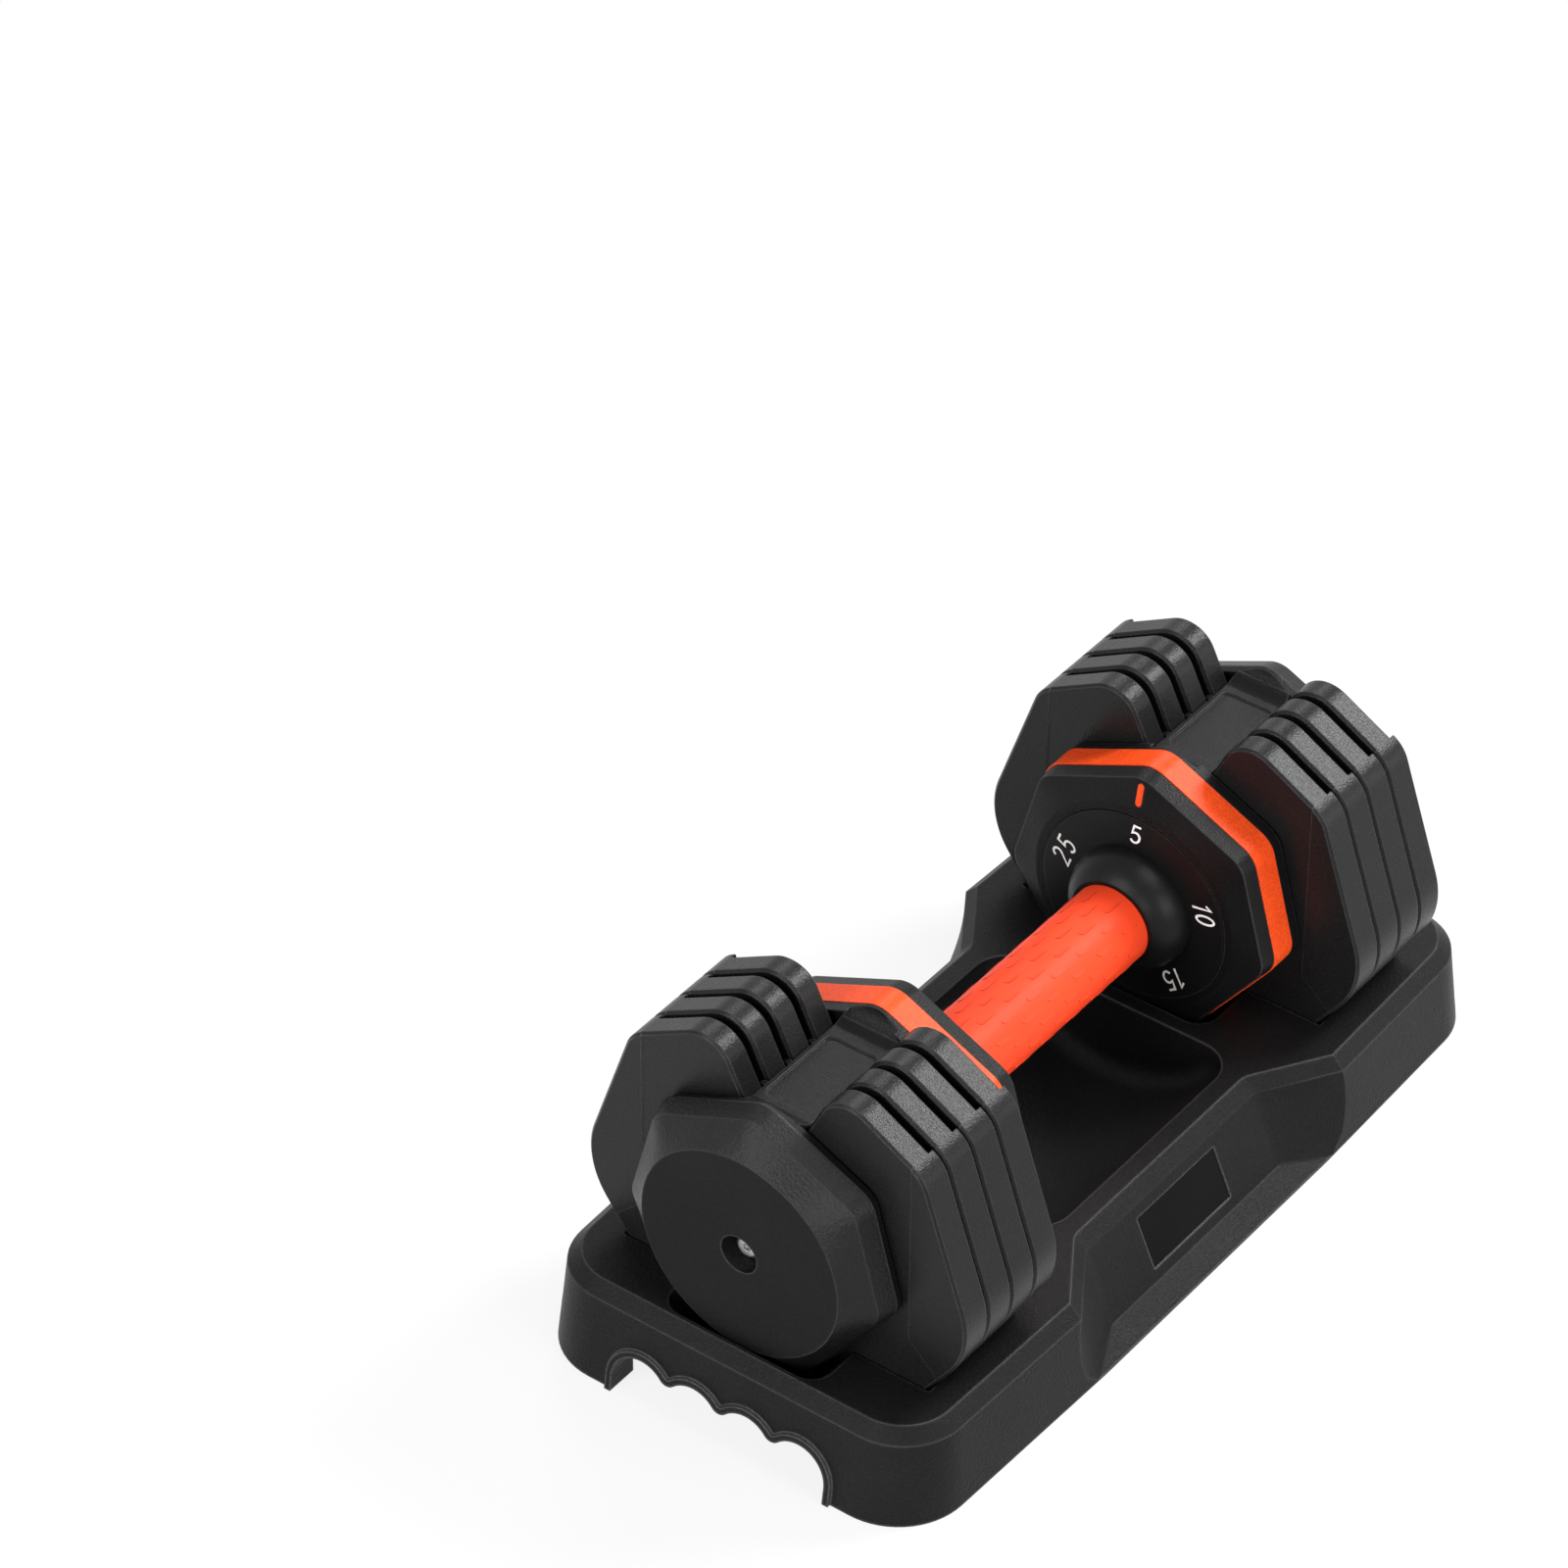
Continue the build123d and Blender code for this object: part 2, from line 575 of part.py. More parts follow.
def fin_numbers(sign):
    """Plates with a neighbour in front of them, which is on the -X side at both ends."""
    return range(2, PLATE_COUNT + 1) if sign > 0 else range(1, PLATE_COUNT)


def plate_front(sign, number):
    """X of the middle of a plate's front face. All plates face the same way, towards -X."""
    centre = sign * (STACK_IN + (number - 0.5) * PLATE_PITCH)
    return centre - PAD_THICKNESS / 2 + PAD_FRONT


def bridge_section():
    """Top slab whose sides lean with the plates' vee, above a spine that stands in their slots."""
    lean = (PLATE_LOBE_Y - SLOT_HALF) / (PLATE_LOBE_Z - VEE_Z)
    under = BRIDGE_HALF - lean * BRIDGE_SLAB
    slab_bottom = BRIDGE_TOP - BRIDGE_SLAB
    spine_bottom = SELECTOR_RADIUS + SPINE_GAP
    spine = [(SPINE_HALF, spine_bottom), (SPINE_HALF, slab_bottom)]
    slab = [(under, slab_bottom), (BRIDGE_HALF, BRIDGE_TOP)]
    return make_face(Polyline(*mirrored_points(spine + slab), close=True))


def fin_face():
    half = [(FIN_HALF - FIN_CORNER, -FIN_DROP), (FIN_HALF, -FIN_DROP / 2), (FIN_HALF, BRIDGE_TOP)]
    fin = rounded(mirrored_points(half), FIN_CORNER)
    return fin - Circle(SELECTOR_RADIUS + FIN_BORE_GAP)


def dish_arch():
    """The arch over a bridge's end, as wide as the bridge and as high as the head."""
    left = (-BRIDGE_HALF, BRIDGE_TOP)
    right = (BRIDGE_HALF, BRIDGE_TOP)
    return make_face([ThreePointArc(left, (0, HEAD_APEX), right), Line(right, left)])


def dish_trough(x_axis):
    """Round bar across the handle that hollows the arch between a bridge's top and the cover it meets."""
    height = AXIS_Z + BRIDGE_TOP + DISH_RADIUS - DISH_SINK
    return Pos(x_axis, 0, height) * Rot(90, 0, 0) * Cylinder(DISH_RADIUS, 4 * BRIDGE_HALF)


def bridge_ramp(x_wall, x_axis):
    """The foot of the dish, which stands on the bridge's end."""
    return prism(dish_arch(), min(x_wall, x_axis), max(x_wall, x_axis)) - dish_trough(x_axis)


def make_bridge(sign):
    x_in = sign * HEAD_REAR
    x_out = sign * CAP_IN
    low = min(x_in, x_out)
    high = max(x_in, x_out)
    bridge = prism(bridge_section(), low, high)
    for middle in gap_middles(sign):
        bridge += prism(fin_face(), middle - FIN_THICKNESS / 2, middle + FIN_THICKNESS / 2)
    bridge += bridge_ramp(x_in, sign * HEAD_DISH)
    bridge += bridge_ramp(x_out, sign * CAP_DISH)
    panel = RectangleRounded(LABEL_LENGTH, 2 * (BRIDGE_HALF - LABEL_MARGIN), LABEL_CORNER)
    return bridge - extrude(Pos((low + high) / 2, 0, AXIS_Z + BRIDGE_TOP) * panel, amount=-LABEL_DEPTH)


def make_cap_plate():
    """Thin inner half of the end cap."""
    plate = head_loft(CAP_IN, CAP_STEP, CAP_SEAM, CAP_STEP / 2)
    plate -= prism(dish_arch(), CAP_IN - 1, CAP_SEAM) & dish_trough(CAP_DISH)
    return plate - disc(ROD_RADIUS + SEAT, CAP_IN - 1, CAP_SEAM + 1)


def make_outer_cap():
    """Hollow outer half of the end cap, with a boss that takes the rod's end and a recessed screw."""
    cap = head_loft(CAP_SEAM, CAP_STEP / 2, CAP_EDGE, CAP_EDGE_STEP)
    cap += bevel_loft(CAP_EDGE, CAP_EDGE_STEP, CAP_FACE, CAP_FACE_RADIUS)
    inner_edge = CAP_EDGE_STEP + CAP_SHELL
    hollow = head_loft(CAP_SEAM - 1, CAP_STEP + CAP_SHELL, CAP_EDGE, inner_edge)
    hollow += bevel_loft(CAP_EDGE, inner_edge, CAP_FACE - CAP_SHELL, CAP_FACE_RADIUS - CAP_SHELL)
    cap -= hollow
    cap += disc(CAP_BOSS_RADIUS, CAP_SEAM, CAP_FACE - CAP_SHELL / 2)
    cap -= disc(CAP_HOLE_RADIUS, CAP_HOLE_FLOOR, CAP_FACE + 1)
    cap -= disc(ROD_RADIUS + SEAT, CAP_SEAM - 1, ROD_END)
    return cap - disc(END_SCREW_RADIUS + SEAT, ROD_END - 1, CAP_HOLE_FLOOR + 1)


def make_end_washer():
    washer = Circle(WASHER_RADIUS) - Circle(END_SCREW_RADIUS + SEAT)
    return prism(washer, CAP_HOLE_FLOOR, CAP_HOLE_FLOOR + WASHER_THICKNESS)


def make_end_screw():
    """Socket screw in the cap's recess, driven into the rod's end."""
    seat = CAP_HOLE_FLOOR + WASHER_THICKNESS
    top = seat + END_SCREW_HEAD_HEIGHT
    screw = disc(END_SCREW_HEAD, seat, top)
    screw = fillet(screw.edges().group_by(Axis.X)[-1], END_SCREW_HEAD_HEIGHT / 2)
    screw -= prism(RegularPolygon(END_SCREW_SOCKET, 6), seat + END_SCREW_HEAD_HEIGHT / 3, top + 1)
    return screw + disc(END_SCREW_RADIUS - SEAT, ROD_END - END_SCREW_LENGTH + AIR, seat)


# Weight plates

def plate_face():
    """Plate outline with its vee, slot, keyhole and bottom notch."""
    half = [
        (PLATE_BASE_Y, -PLATE_DROP),
        (PLATE_WIDE_Y, PLATE_WIDE_Z),
        (PLATE_SHOULDER_Y, PLATE_SHOULDER_Z),
        (PLATE_LOBE_Y, PLATE_LOBE_Z),
        (SLOT_HALF, VEE_Z),
        (SLOT_HALF, -SLOT_DEPTH),
    ]
    radii = [
        PLATE_BASE_CORNER,
        PLATE_WIDE_CORNER,
        PLATE_SHOULDER_CORNER,
        PLATE_LOBE_CORNER,
        VEE_CORNER,
        SLOT_HALF - SEAT,
    ]
    face = rounded(mirrored_points(half), radii + radii[::-1])
    return face - Circle(KEYHOLE_RADIUS) - Pos(0, -PLATE_DROP) * Circle(NOTCH_RADIUS)


def rimmed_plate(x_from, x_to):
    """A slab of the plate's outline with both its rims chamfered."""
    slab = prism(plate_face(), x_from, x_to)
    rims = slab.faces().sort_by(Axis.X)
    return chamfer(rims[0].outer_wire().edges() + rims[-1].outer_wire().edges(), PLATE_RIM)


def make_pads():
    """The two raised side pads, each ending in a slanted lower edge."""
    reach = PLATE_WIDE_Y + 1
    low = PAD_Z - PAD_SLOPE * (reach - PAD_Y)
    zone = Polyline((PAD_Y, PAD_Z), (reach, low), (reach, PLATE_LOBE_Z), (PAD_Y, PLATE_LOBE_Z), close=True)
    side = prism(make_face(zone), -PAD_FRONT - 1, PLATE_THICKNESS + PAD_BACK + 1)
    return rimmed_plate(-PAD_FRONT, PLATE_THICKNESS + PAD_BACK) & both_long_sides(side)


def make_plate_core():
    """Steel core, from the plate's front face along +X."""
    inset = offset(plate_face(), amount=-JACKET)
    core = prism(inset, JACKET_FACE, PLATE_THICKNESS - JACKET_FACE)
    return core - prism(Pos(0, -PLATE_DROP) * Circle(NOTCH_RADIUS), -1, PLATE_THICKNESS + 1)


def make_plate_jacket(core):
    """Moulded jacket round the core; the bottom notch leaves the steel bare."""
    jacket = rimmed_plate(0, PLATE_THICKNESS) + make_pads()
    return jacket - core


# Tray

def tray_outline(half_x, half_y, corner):
    """The tray's plan at one level: long sides that run in towards rounded ends."""
    end_y = half_y - SIDE_TAPER
    quarter = [(TAPER_FROM, half_y), (half_x, end_y)]
    right = quarter + [(x, -y) for x, y in reversed(quarter)]
    points = right + [(-x, -y) for x, y in right]
    return rounded(points, [TAPER_FROM, corner, corner, TAPER_FROM] * 2)


def tray_block(grow, top_drop):
    """The tray's tapered block with its bevelled deck, grown or shrunk sideways."""
    levels = [
        (0, FOOT_HALF_X, FOOT_HALF_Y, FOOT_CORNER),
        (SHOULDER_Z, FOOT_HALF_X - END_DRAFT, FOOT_HALF_Y - SIDE_DRAFT, DECK_CORNER + DECK_BEVEL),
        (DECK_Z, DECK_HALF_X, DECK_HALF_Y, DECK_CORNER),
    ]
    sections = []
    for z, half_x, half_y, corner in levels:
        outline = tray_outline(half_x + grow, half_y + grow, corner + grow)
        sections.append(Pos(0, 0, z - top_drop) * outline)
    return loft(sections, ruled=True)


def waist_cut(grow):
    """What is taken off one long side to leave the narrow waist above a straight foot."""
    outside = FOOT_HALF_Y + FOOT_CORNER
    crease_spread = (WAIST_END - WAIST_RUN) / (FOOT_HALF_Y - WAIST_CREASE_HALF)
    deck_spread = (WAIST_END - WAIST_RUN) / (DECK_HALF_Y - WAIST_HALF)
    levels = [
        (DECK_Z + 1, WAIST_HALF, WAIST_RUN, deck_spread),
        (DECK_Z, WAIST_HALF, WAIST_RUN, deck_spread),
        (SHOULDER_Z, WAIST_HALF + DECK_BEVEL, WAIST_RUN, deck_spread),
        (WAIST_CREASE_Z, WAIST_CREASE_HALF, WAIST_RUN, crease_spread),
        (0, FOOT_HALF_Y + AIR, WAIST_END - WAIST_CORNER, crease_spread),
        (-TRAY_WALL - 1, FOOT_HALF_Y + AIR, WAIST_END - WAIST_CORNER, crease_spread),
    ]
    sections = []
    for z, y, run, spread in levels:
        inner = y - grow
        half_run = run + grow / 2
        far = half_run + spread * (outside - inner)
        points = [(-half_run, inner), (half_run, inner), (far, outside), (-far, outside)]
        face = rounded(points, [WAIST_CORNER, WAIST_CORNER, 0, 0])
        sections.append(Pos(0, 0, z) * face)
    return loft(sections, ruled=True)


def both_long_sides(shape):
    return shape + mirror(shape, about=Plane.XZ)


def both_ends(shape):
    return shape + mirror(shape, about=Plane.YZ)


def scoop_cut(grow):
    """The hand scoop: a trough along X with steep, drafted ends."""
    radius = (SCOOP_HALF**2 + SCOOP_DEPTH**2) / (2 * SCOOP_DEPTH)
    centre_z = DECK_Z - SCOOP_DEPTH + radius
    trough = Pos(0, 0, centre_z) * Rot(0, 90, 0) * Cylinder(radius + grow, 2 * SCOOP_LENGTH)
    half_plan = SCOOP_HALF - SCOOP_RIM + grow
    plan = RectangleRounded(SCOOP_LENGTH + 2 * grow, 2 * half_plan, SCOOP_CORNER + grow)
    depth = SCOOP_DEPTH + grow + 1
    wall = extrude(Pos(0, 0, DECK_Z) * plan, amount=-depth, taper=SCOOP_DRAFT)
    wall += extrude(Pos(0, 0, DECK_Z) * plan, amount=1)
    scoop = wall & trough
    floor_edges = scoop.edges().filter_by(lambda edge: edge.bounding_box().max.Z < DECK_Z - SCOOP_BLEND / 2)
    return fillet(floor_edges, SCOOP_BLEND)


def recess_cut(x_closed, x_open, grow):
    """A recess beside a plate pocket: sloping sides, flat floor, rounded plan at its closed end."""
    top = 2 * RECESS_CORNER - AXIS_ABOVE_DECK
    slope = (RECESS_HALF - RECESS_FLOOR_HALF) / RECESS_DEPTH
    floor = -AXIS_ABOVE_DECK - RECESS_DEPTH - grow
    half_floor = RECESS_FLOOR_HALF + grow
    half_top = half_floor + slope * (top - floor)
    points = [(half_floor, floor), (half_top, top), (-half_top, top), (-half_floor, floor)]
    face = rounded(points, [RECESS_CORNER / 2, 0, 0, RECESS_CORNER / 2])
    low = min(x_closed, x_open)
    high = max(x_closed, x_open)
    span = prism(face, low - RECESS_CORNER - grow, high + RECESS_CORNER + grow)
    towards = 1 if x_open > x_closed else -1
    length = abs(x_open - x_closed) + grow + RECESS_CORNER
    middle = x_closed - towards * grow + towards * length / 2
    half_plan = RECESS_HALF + grow
    plan = Pos(middle, 0, 0) * RectangleRounded(length, 2 * half_plan, RECESS_CORNER)
    limit = extrude(plan, amount=DECK_Z + 1)
    past = x_open + towards * 3 * RECESS_CORNER
    beyond = block(min(x_open, past), max(x_open, past), 2 * half_plan, -AXIS_Z, top)
    return (span & limit) - beyond


def pocket_cut(grow):
    """A plate pocket: a straight-sided tub that follows the plates' lower sides."""
    floor = -PLATE_DROP - POCKET_SEAT - grow
    top = -AXIS_ABOVE_DECK + 1
    half_floor = POCKET_FLOOR_HALF + grow
    half_top = half_floor + PLATE_SIDE_SLOPE * (top - floor)
    face = make_face(
        Polyline((half_floor, floor), (half_top, top), (-half_top, top), (-half_floor, floor), close=True)
    )
    return prism(face, STACK_IN - grow, STACK_OUT + grow)


def divider_face():
    """A plate divider: high at its two ends, dipping to a low straight middle."""
    floor = -PLATE_DROP - POCKET_SEAT - POCKET_FLOOR / 2
    high = -AXIS_ABOVE_DECK - DIVIDER_TOP
    low = -AXIS_ABOVE_DECK - DIVIDER_DIP
    half_top = POCKET_HALF + TRAY_WALL / 2
    half_floor = half_top - PLATE_SIDE_SLOPE * (high - floor)
    half = [(half_floor, floor), (half_top, high), (DIVIDER_KNEE + DIVIDER_RISE, high), (DIVIDER_KNEE, low)]
    radii = [0, 0, DIVIDER_CORNER, DIVIDER_CORNER]
    return rounded(mirrored_points(half), radii + radii[::-1])


def finger_face():
    """The scalloped cut-out for four fingers, drawn about the handle axis."""
    cut = Sketch()
    for number in (-1.5, -0.5, 0.5, 1.5):
        cut += Pos(number * FINGER_PITCH, FINGER_Z - AXIS_Z) * Circle(FINGER_RADIUS)
    half = 1.5 * FINGER_PITCH + FINGER_RADIUS
    cut += Pos(0, FINGER_Z / 2 - AXIS_Z - FINGER_LIP) * Rectangle(2 * half, FINGER_Z + 2 * FINGER_LIP)
    cusps = cut.vertices().filter_by(lambda corner: abs(corner.X) < half - FINGER_LIP and corner.Y > FINGER_Z - AXIS_Z)
    return fillet(cusps, FINGER_CUSP)


def badge_panel():
    """Shallow bare panel on the waist wall of the +Y side."""
    top_y = WAIST_HALF + DECK_BEVEL
    run = WAIST_CREASE_HALF - top_y
    drop = SHOULDER_Z - WAIST_CREASE_Z
    lean = math.atan2(run, drop)
    middle = (0, top_y + run / 2, SHOULDER_Z - drop / 2)
    wall = Plane(origin=middle, x_dir=(1, 0, 0), z_dir=(0, math.cos(lean), math.sin(lean)))
    return wall * Box(BADGE_LENGTH, BADGE_HEIGHT, 2 * BADGE_DEPTH)


def make_tray():
    """One thin-walled moulding, open underneath."""
    shell = tray_block(0, 0) - both_long_sides(waist_cut(0))
    hollow = tray_block(-TRAY_WALL, TRAY_WALL) - both_long_sides(waist_cut(TRAY_WALL))
    cap_recess_end = DECK_HALF_X - RECESS_CREST
    head_recess_end = FRONT_FACE - RECESS_AIR
    skins = both_ends(pocket_cut(POCKET_FLOOR))
    skins += both_ends(recess_cut(cap_recess_end, STACK_OUT, POCKET_FLOOR))
    skins += both_ends(recess_cut(head_recess_end, STACK_IN, POCKET_FLOOR))
    skins += scoop_cut(TRAY_WALL)
    tray = shell - (hollow - skins)
    fingers = finger_face()
    rim = offset(fingers, amount=FINGER_LIP) - fingers
    lip = prism(rim, FOOT_HALF_X - 4 * TRAY_WALL, FOOT_HALF_X + TRAY_WALL) & tray_block(FINGER_LIP_PROUD, 0)
    tray += both_ends(lip)
    tray -= both_ends(prism(fingers, FOOT_HALF_X - 5 * TRAY_WALL, FOOT_HALF_X + 2 * TRAY_WALL))
    tray -= both_ends(pocket_cut(0))
    tray -= both_ends(recess_cut(cap_recess_end, STACK_OUT, 0))
    tray -= both_ends(recess_cut(head_recess_end, STACK_IN, 0))
    tray -= scoop_cut(0)
    tray -= both_long_sides(badge_panel())
    divider = divider_face()
    for sign in SIDES.values():
        for middle in gap_middles(sign):
            tray += prism(divider, middle - DIVIDER / 2, middle + DIVIDER / 2)
    return tray


def make_unlock_posts():
    """Ribbed posts that stand in the head recesses and push the lock sliders up."""
    floor = -AXIS_ABOVE_DECK - RECESS_DEPTH
    top = POST_REACH - HEAD_DROP
    post = block(LOCK_LINE - POST_DEPTH / 2, LOCK_LINE + POST_DEPTH / 2, POST_WIDTH / 2, floor, top)
    post = chamfer(post.edges().group_by(Axis.Z)[-1], POST_RIB)
    for y in (-POST_WIDTH / 4, 0, POST_WIDTH / 4):
        for x in (LOCK_LINE - POST_DEPTH / 2, LOCK_LINE + POST_DEPTH / 2):
            post -= Pos(x, y, AXIS_Z + (floor + top) / 2) * Cylinder(POST_RIB / 2, top - floor + 1)
    return Compound(children=[post.solid(), mirror(post, about=Plane.YZ).solid()])


def build():
    os.makedirs(PARTS, exist_ok=True)
    save("tray_shell", make_tray())
    save("unlock_posts", make_unlock_posts())

    core = make_plate_core()
    jacket = make_plate_jacket(core)
    for side, sign in SIDES.items():
        for number in range(1, PLATE_COUNT + 1):
            place = Pos(plate_front(sign, number), 0, 0)
            save(f"plate_{number}_core_{side}", place * core)
            save(f"plate_{number}_jacket_{side}", place * jacket)

    ends = {
        "front_cover": make_front_cover(),
        "index_mark": make_index_mark(),
        "head_band": make_band(),
        "rear_cover": make_rear_cover(),
        "head_screws": make_head_screws(),
        "guide_bush": make_guide_bush(),
        "selector_sleeve": make_selector(),
        "drive_pin": make_drive_pin(),
        "lock_slider": make_lock_slider(),
        "lock_spring": make_lock_spring(),
        "lock_ring": make_lock_ring(),
        "dial": make_dial(),
        "dial_hub": make_hub(),
        "cap_plate": make_cap_plate(),
        "outer_cap": make_outer_cap(),
        "end_washer": make_end_washer(),
        "end_screw": make_end_screw(),
    }
    for side, sign in SIDES.items():
        for node, shape in ends.items():
            save(f"{node}_{side}", to_side(shape, sign))
        save(f"bridge_{side}", make_bridge(sign))

    save("tie_rod", make_tie_rod())
    save("cam_tube", make_cam_tube())
    save("grip_sleeve", make_grip())


build()
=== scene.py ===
"""Finishes, dial numerals, grip tread and studio for an adjustable dumbbell in its storage tray."""

import math

import bmesh
import bpy
from bpy.props import FloatProperty, FloatVectorProperty, IntProperty, PointerProperty
from mathutils import Euler, Matrix, Vector


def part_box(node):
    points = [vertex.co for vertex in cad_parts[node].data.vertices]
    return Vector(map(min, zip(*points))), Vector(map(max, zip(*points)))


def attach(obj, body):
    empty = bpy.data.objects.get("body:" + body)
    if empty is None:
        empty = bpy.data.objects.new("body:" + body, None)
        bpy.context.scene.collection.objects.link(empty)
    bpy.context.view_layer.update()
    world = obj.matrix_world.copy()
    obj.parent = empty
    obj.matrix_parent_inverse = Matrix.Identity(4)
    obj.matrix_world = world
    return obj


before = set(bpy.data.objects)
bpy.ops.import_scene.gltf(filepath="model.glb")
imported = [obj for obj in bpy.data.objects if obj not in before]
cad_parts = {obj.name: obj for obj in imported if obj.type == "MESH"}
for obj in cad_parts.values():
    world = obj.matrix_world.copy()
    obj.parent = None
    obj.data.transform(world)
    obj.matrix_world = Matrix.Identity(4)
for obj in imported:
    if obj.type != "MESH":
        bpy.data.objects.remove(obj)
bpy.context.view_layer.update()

bl_info = {
    "name": "Adjustable Dumbbell",
    "version": (1, 0, 0),
    "blender": (4, 5, 0),
    "location": "View3D > Sidebar > Dumbbell",
    "description": "Finishes, dial numerals, grip tread and studio for an adjustable dumbbell",
    "category": "Object",
}

MM = 0.001
SIDES = ("left", "right")
GRIP_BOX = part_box("grip_sleeve")
AXIS_Z = (GRIP_BOX[0][2] + GRIP_BOX[1][2]) / 2.0
GRIP_RADIUS = (GRIP_BOX[1][2] - GRIP_BOX[0][2]) / 2.0
WEIGHTS = ("5", "10", "15", "20", "25")

# The recessed panel in the tray's waist wall, on the +Y side.
PANEL_MIDDLE = Vector((0.0, 71.8, 19.85)) * MM
PANEL_LEAN = math.radians(23.81)
PANEL_NORMAL = Vector((0.0, math.cos(PANEL_LEAN), math.sin(PANEL_LEAN)))
PANEL_DEPTH = 0.8 * MM

# Moulded plastic.
NOISE_SPAN = (0.3, 0.7)                 # where most values of a noise texture lie
PEBBLE_SPAN = (0.15, 0.7)               # the same for the distances in a pebbled texture
PEBBLE_SMOOTHNESS = 0.35
PEBBLE_RELIEF = 0.9                     # the pebbles' height against the fine grain's
PEBBLE_TONE = 0.55                      # the pebbles' share of the change in tone
FINE_SIZE = 0.55                        # the fine grain's size against the pebbles'
FINE_ROUGHNESS = 0.6
DRIFT_SIZE = 45.0 * MM                  # patches of slightly different tone
DRIFT_TONE = 0.45                       # their share of the change in tone
DARK_TONE, LIGHT_TONE = 0.66, 1.4       # shades between which the tone changes
EDGE_SAMPLES = 6
EDGE_COSINES = (0.995, 0.86)            # true against rounded normal: on a flat, on a sharp edge
GLOSS_DRIFT = 0.07                      # change of roughness to either side
POLISHED = 0.24                         # roughness of a rubbed edge
FLAT_DEPTHS = (0.08 * MM, 0.03 * MM)    # below a flat end: where its look begins, where it is full
FLAT_RELIEF = 0.2                       # bump strength on a flat end
FLAT_SHEEN = 0.065                      # specular level on a flat end
BADGE_COLOUR = (0.005, 0.005, 0.0053)
GUIDE_COLOUR = (0.05, 0.05, 0.052)
# Each moulding's rub lightens its edges: partly rubbed wear, partly painted highlight.
MOULDINGS = {
    "tray_shell_grain": dict(
        roughness=0.41, grain=1.0 * MM, depth=0.16 * MM, edge=1.5 * MM, rub_and_highlight=22.0, specular=0.085
    ),
    "plate_grain": dict(
        roughness=0.29, grain=0.8 * MM, depth=0.07 * MM, edge=0.7 * MM, rub_and_highlight=16.0, specular=0.155
    ),
    "head_grain": dict(
        roughness=0.33, grain=0.8 * MM, depth=0.09 * MM, edge=1.0 * MM, rub_and_highlight=18.0, specular=0.105
    ),
    "cap_grain": dict(
        roughness=0.35, grain=1.0 * MM, depth=0.15 * MM, edge=1.0 * MM, rub_and_highlight=18.0, specular=0.19,
        end_face=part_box("outer_cap_right")[1][0],
    ),
    "dial_satin": dict(roughness=0.33, grain=0.6 * MM, depth=0.04 * MM, edge=0.5 * MM, specular=0.14),
    "badge_satin": dict(roughness=0.42, grain=0.6 * MM, depth=0.01 * MM, edge=0.3 * MM, specular=0.03),
    "guide_acetal": dict(roughness=0.4, grain=1.2 * MM, depth=0.02 * MM, edge=0.3 * MM),
    "band_satin": dict(
        roughness=0.38, grain=0.9 * MM, depth=0.02 * MM, edge=0.4 * MM, rub_and_highlight=1.15, specular=0.14
    ),
}

# The finish of each CAD node, by the start of its name; any other node has PLAIN_FINISH.
PLAIN_FINISH = "head_grain"
FINISHES = (
    ("tray", "tray_shell_grain"),
    ("unlock", "tray_shell_grain"),
    ("plate_", "plate_grain"),
    ("grip_sleeve", "grip_rubber"),
    ("cam_tube", "turned_steel"),
    ("dial_", "dial_satin"),
    ("lock_ring", "guide_acetal"),
    ("lock_slider", "guide_acetal"),
    ("guide_bush", "guide_acetal"),
    ("lock_spring", "turned_steel"),
    ("head_band", "band_satin"),
    ("index_mark", "band_satin"),
    ("selector", "selector_chrome"),
    ("drive_pin", "turned_steel"),
    ("tie_rod", "turned_steel"),
    ("end_", "turned_steel"),
    ("head_screws", "turned_steel"),
    ("outer_cap", "cap_grain"),
)

# Tread and numerals.
STEP_WALL = "step_wall"                 # face attribute: 1 on the upright wall of a tread mark, which the tread rubber darkens as painted shade
TREAD_SHIFT = 0.25                      # marks' shift along the grip against their pitch
MITRE_LIMIT = 1.5                       # longest mitre against a stroke's half width
MITRE_COSINE = 0.1                      # keeps a mitre's length finite
SAME_POINT = 1e-6
WELD = 1e-7

# Studio, in metres: each lamp's place and size, the floor, and the film in millimetres.
LAMP_AIM = (0.0, 0.0, 0.06)
LAMPS = {
    "key": ((1.55, -0.87, 1.80), 0.7),
    "fill": ((1.25, -1.50, 0.42), 0.8),
    "back": ((1.55, 1.05, 1.90), 0.8),
    "top": ((0.10, -0.66, 2.05), 1.0),
    "end": ((-1.75, 0.47, 0.98), 1.0),
    "low": ((-1.90, -0.65, 0.50), 0.7),
    "side": ((-0.35, -1.90, 0.75), 0.9),
}
FLOOR_HALF = 6.0
FLOOR_DROP = -0.3 * MM
FLOOR_FADE = (0.25, 0.55)               # distances between which the floor fades to plain white
FLOOR_WHITE = 0.84                      # share of plain white near the object
FILM_WIDTH = 36.0


def colour_property(label, words, default):
    """A linear colour that the user may change."""
    return FloatVectorProperty(
        name=label, description=words, subtype="COLOR", size=3, min=0.0, max=1.0, default=default
    )


def length_property(label, words, default):
    """A length in metres that the user may change."""
    return FloatProperty(
        name=label, description=words, unit="LENGTH", min=0.0, precision=5, default=default
    )


def power_property(label, words, default):
    """A lamp's power in watts that the user may change."""
    return FloatProperty(name=label, description=words, unit="POWER", default=default)


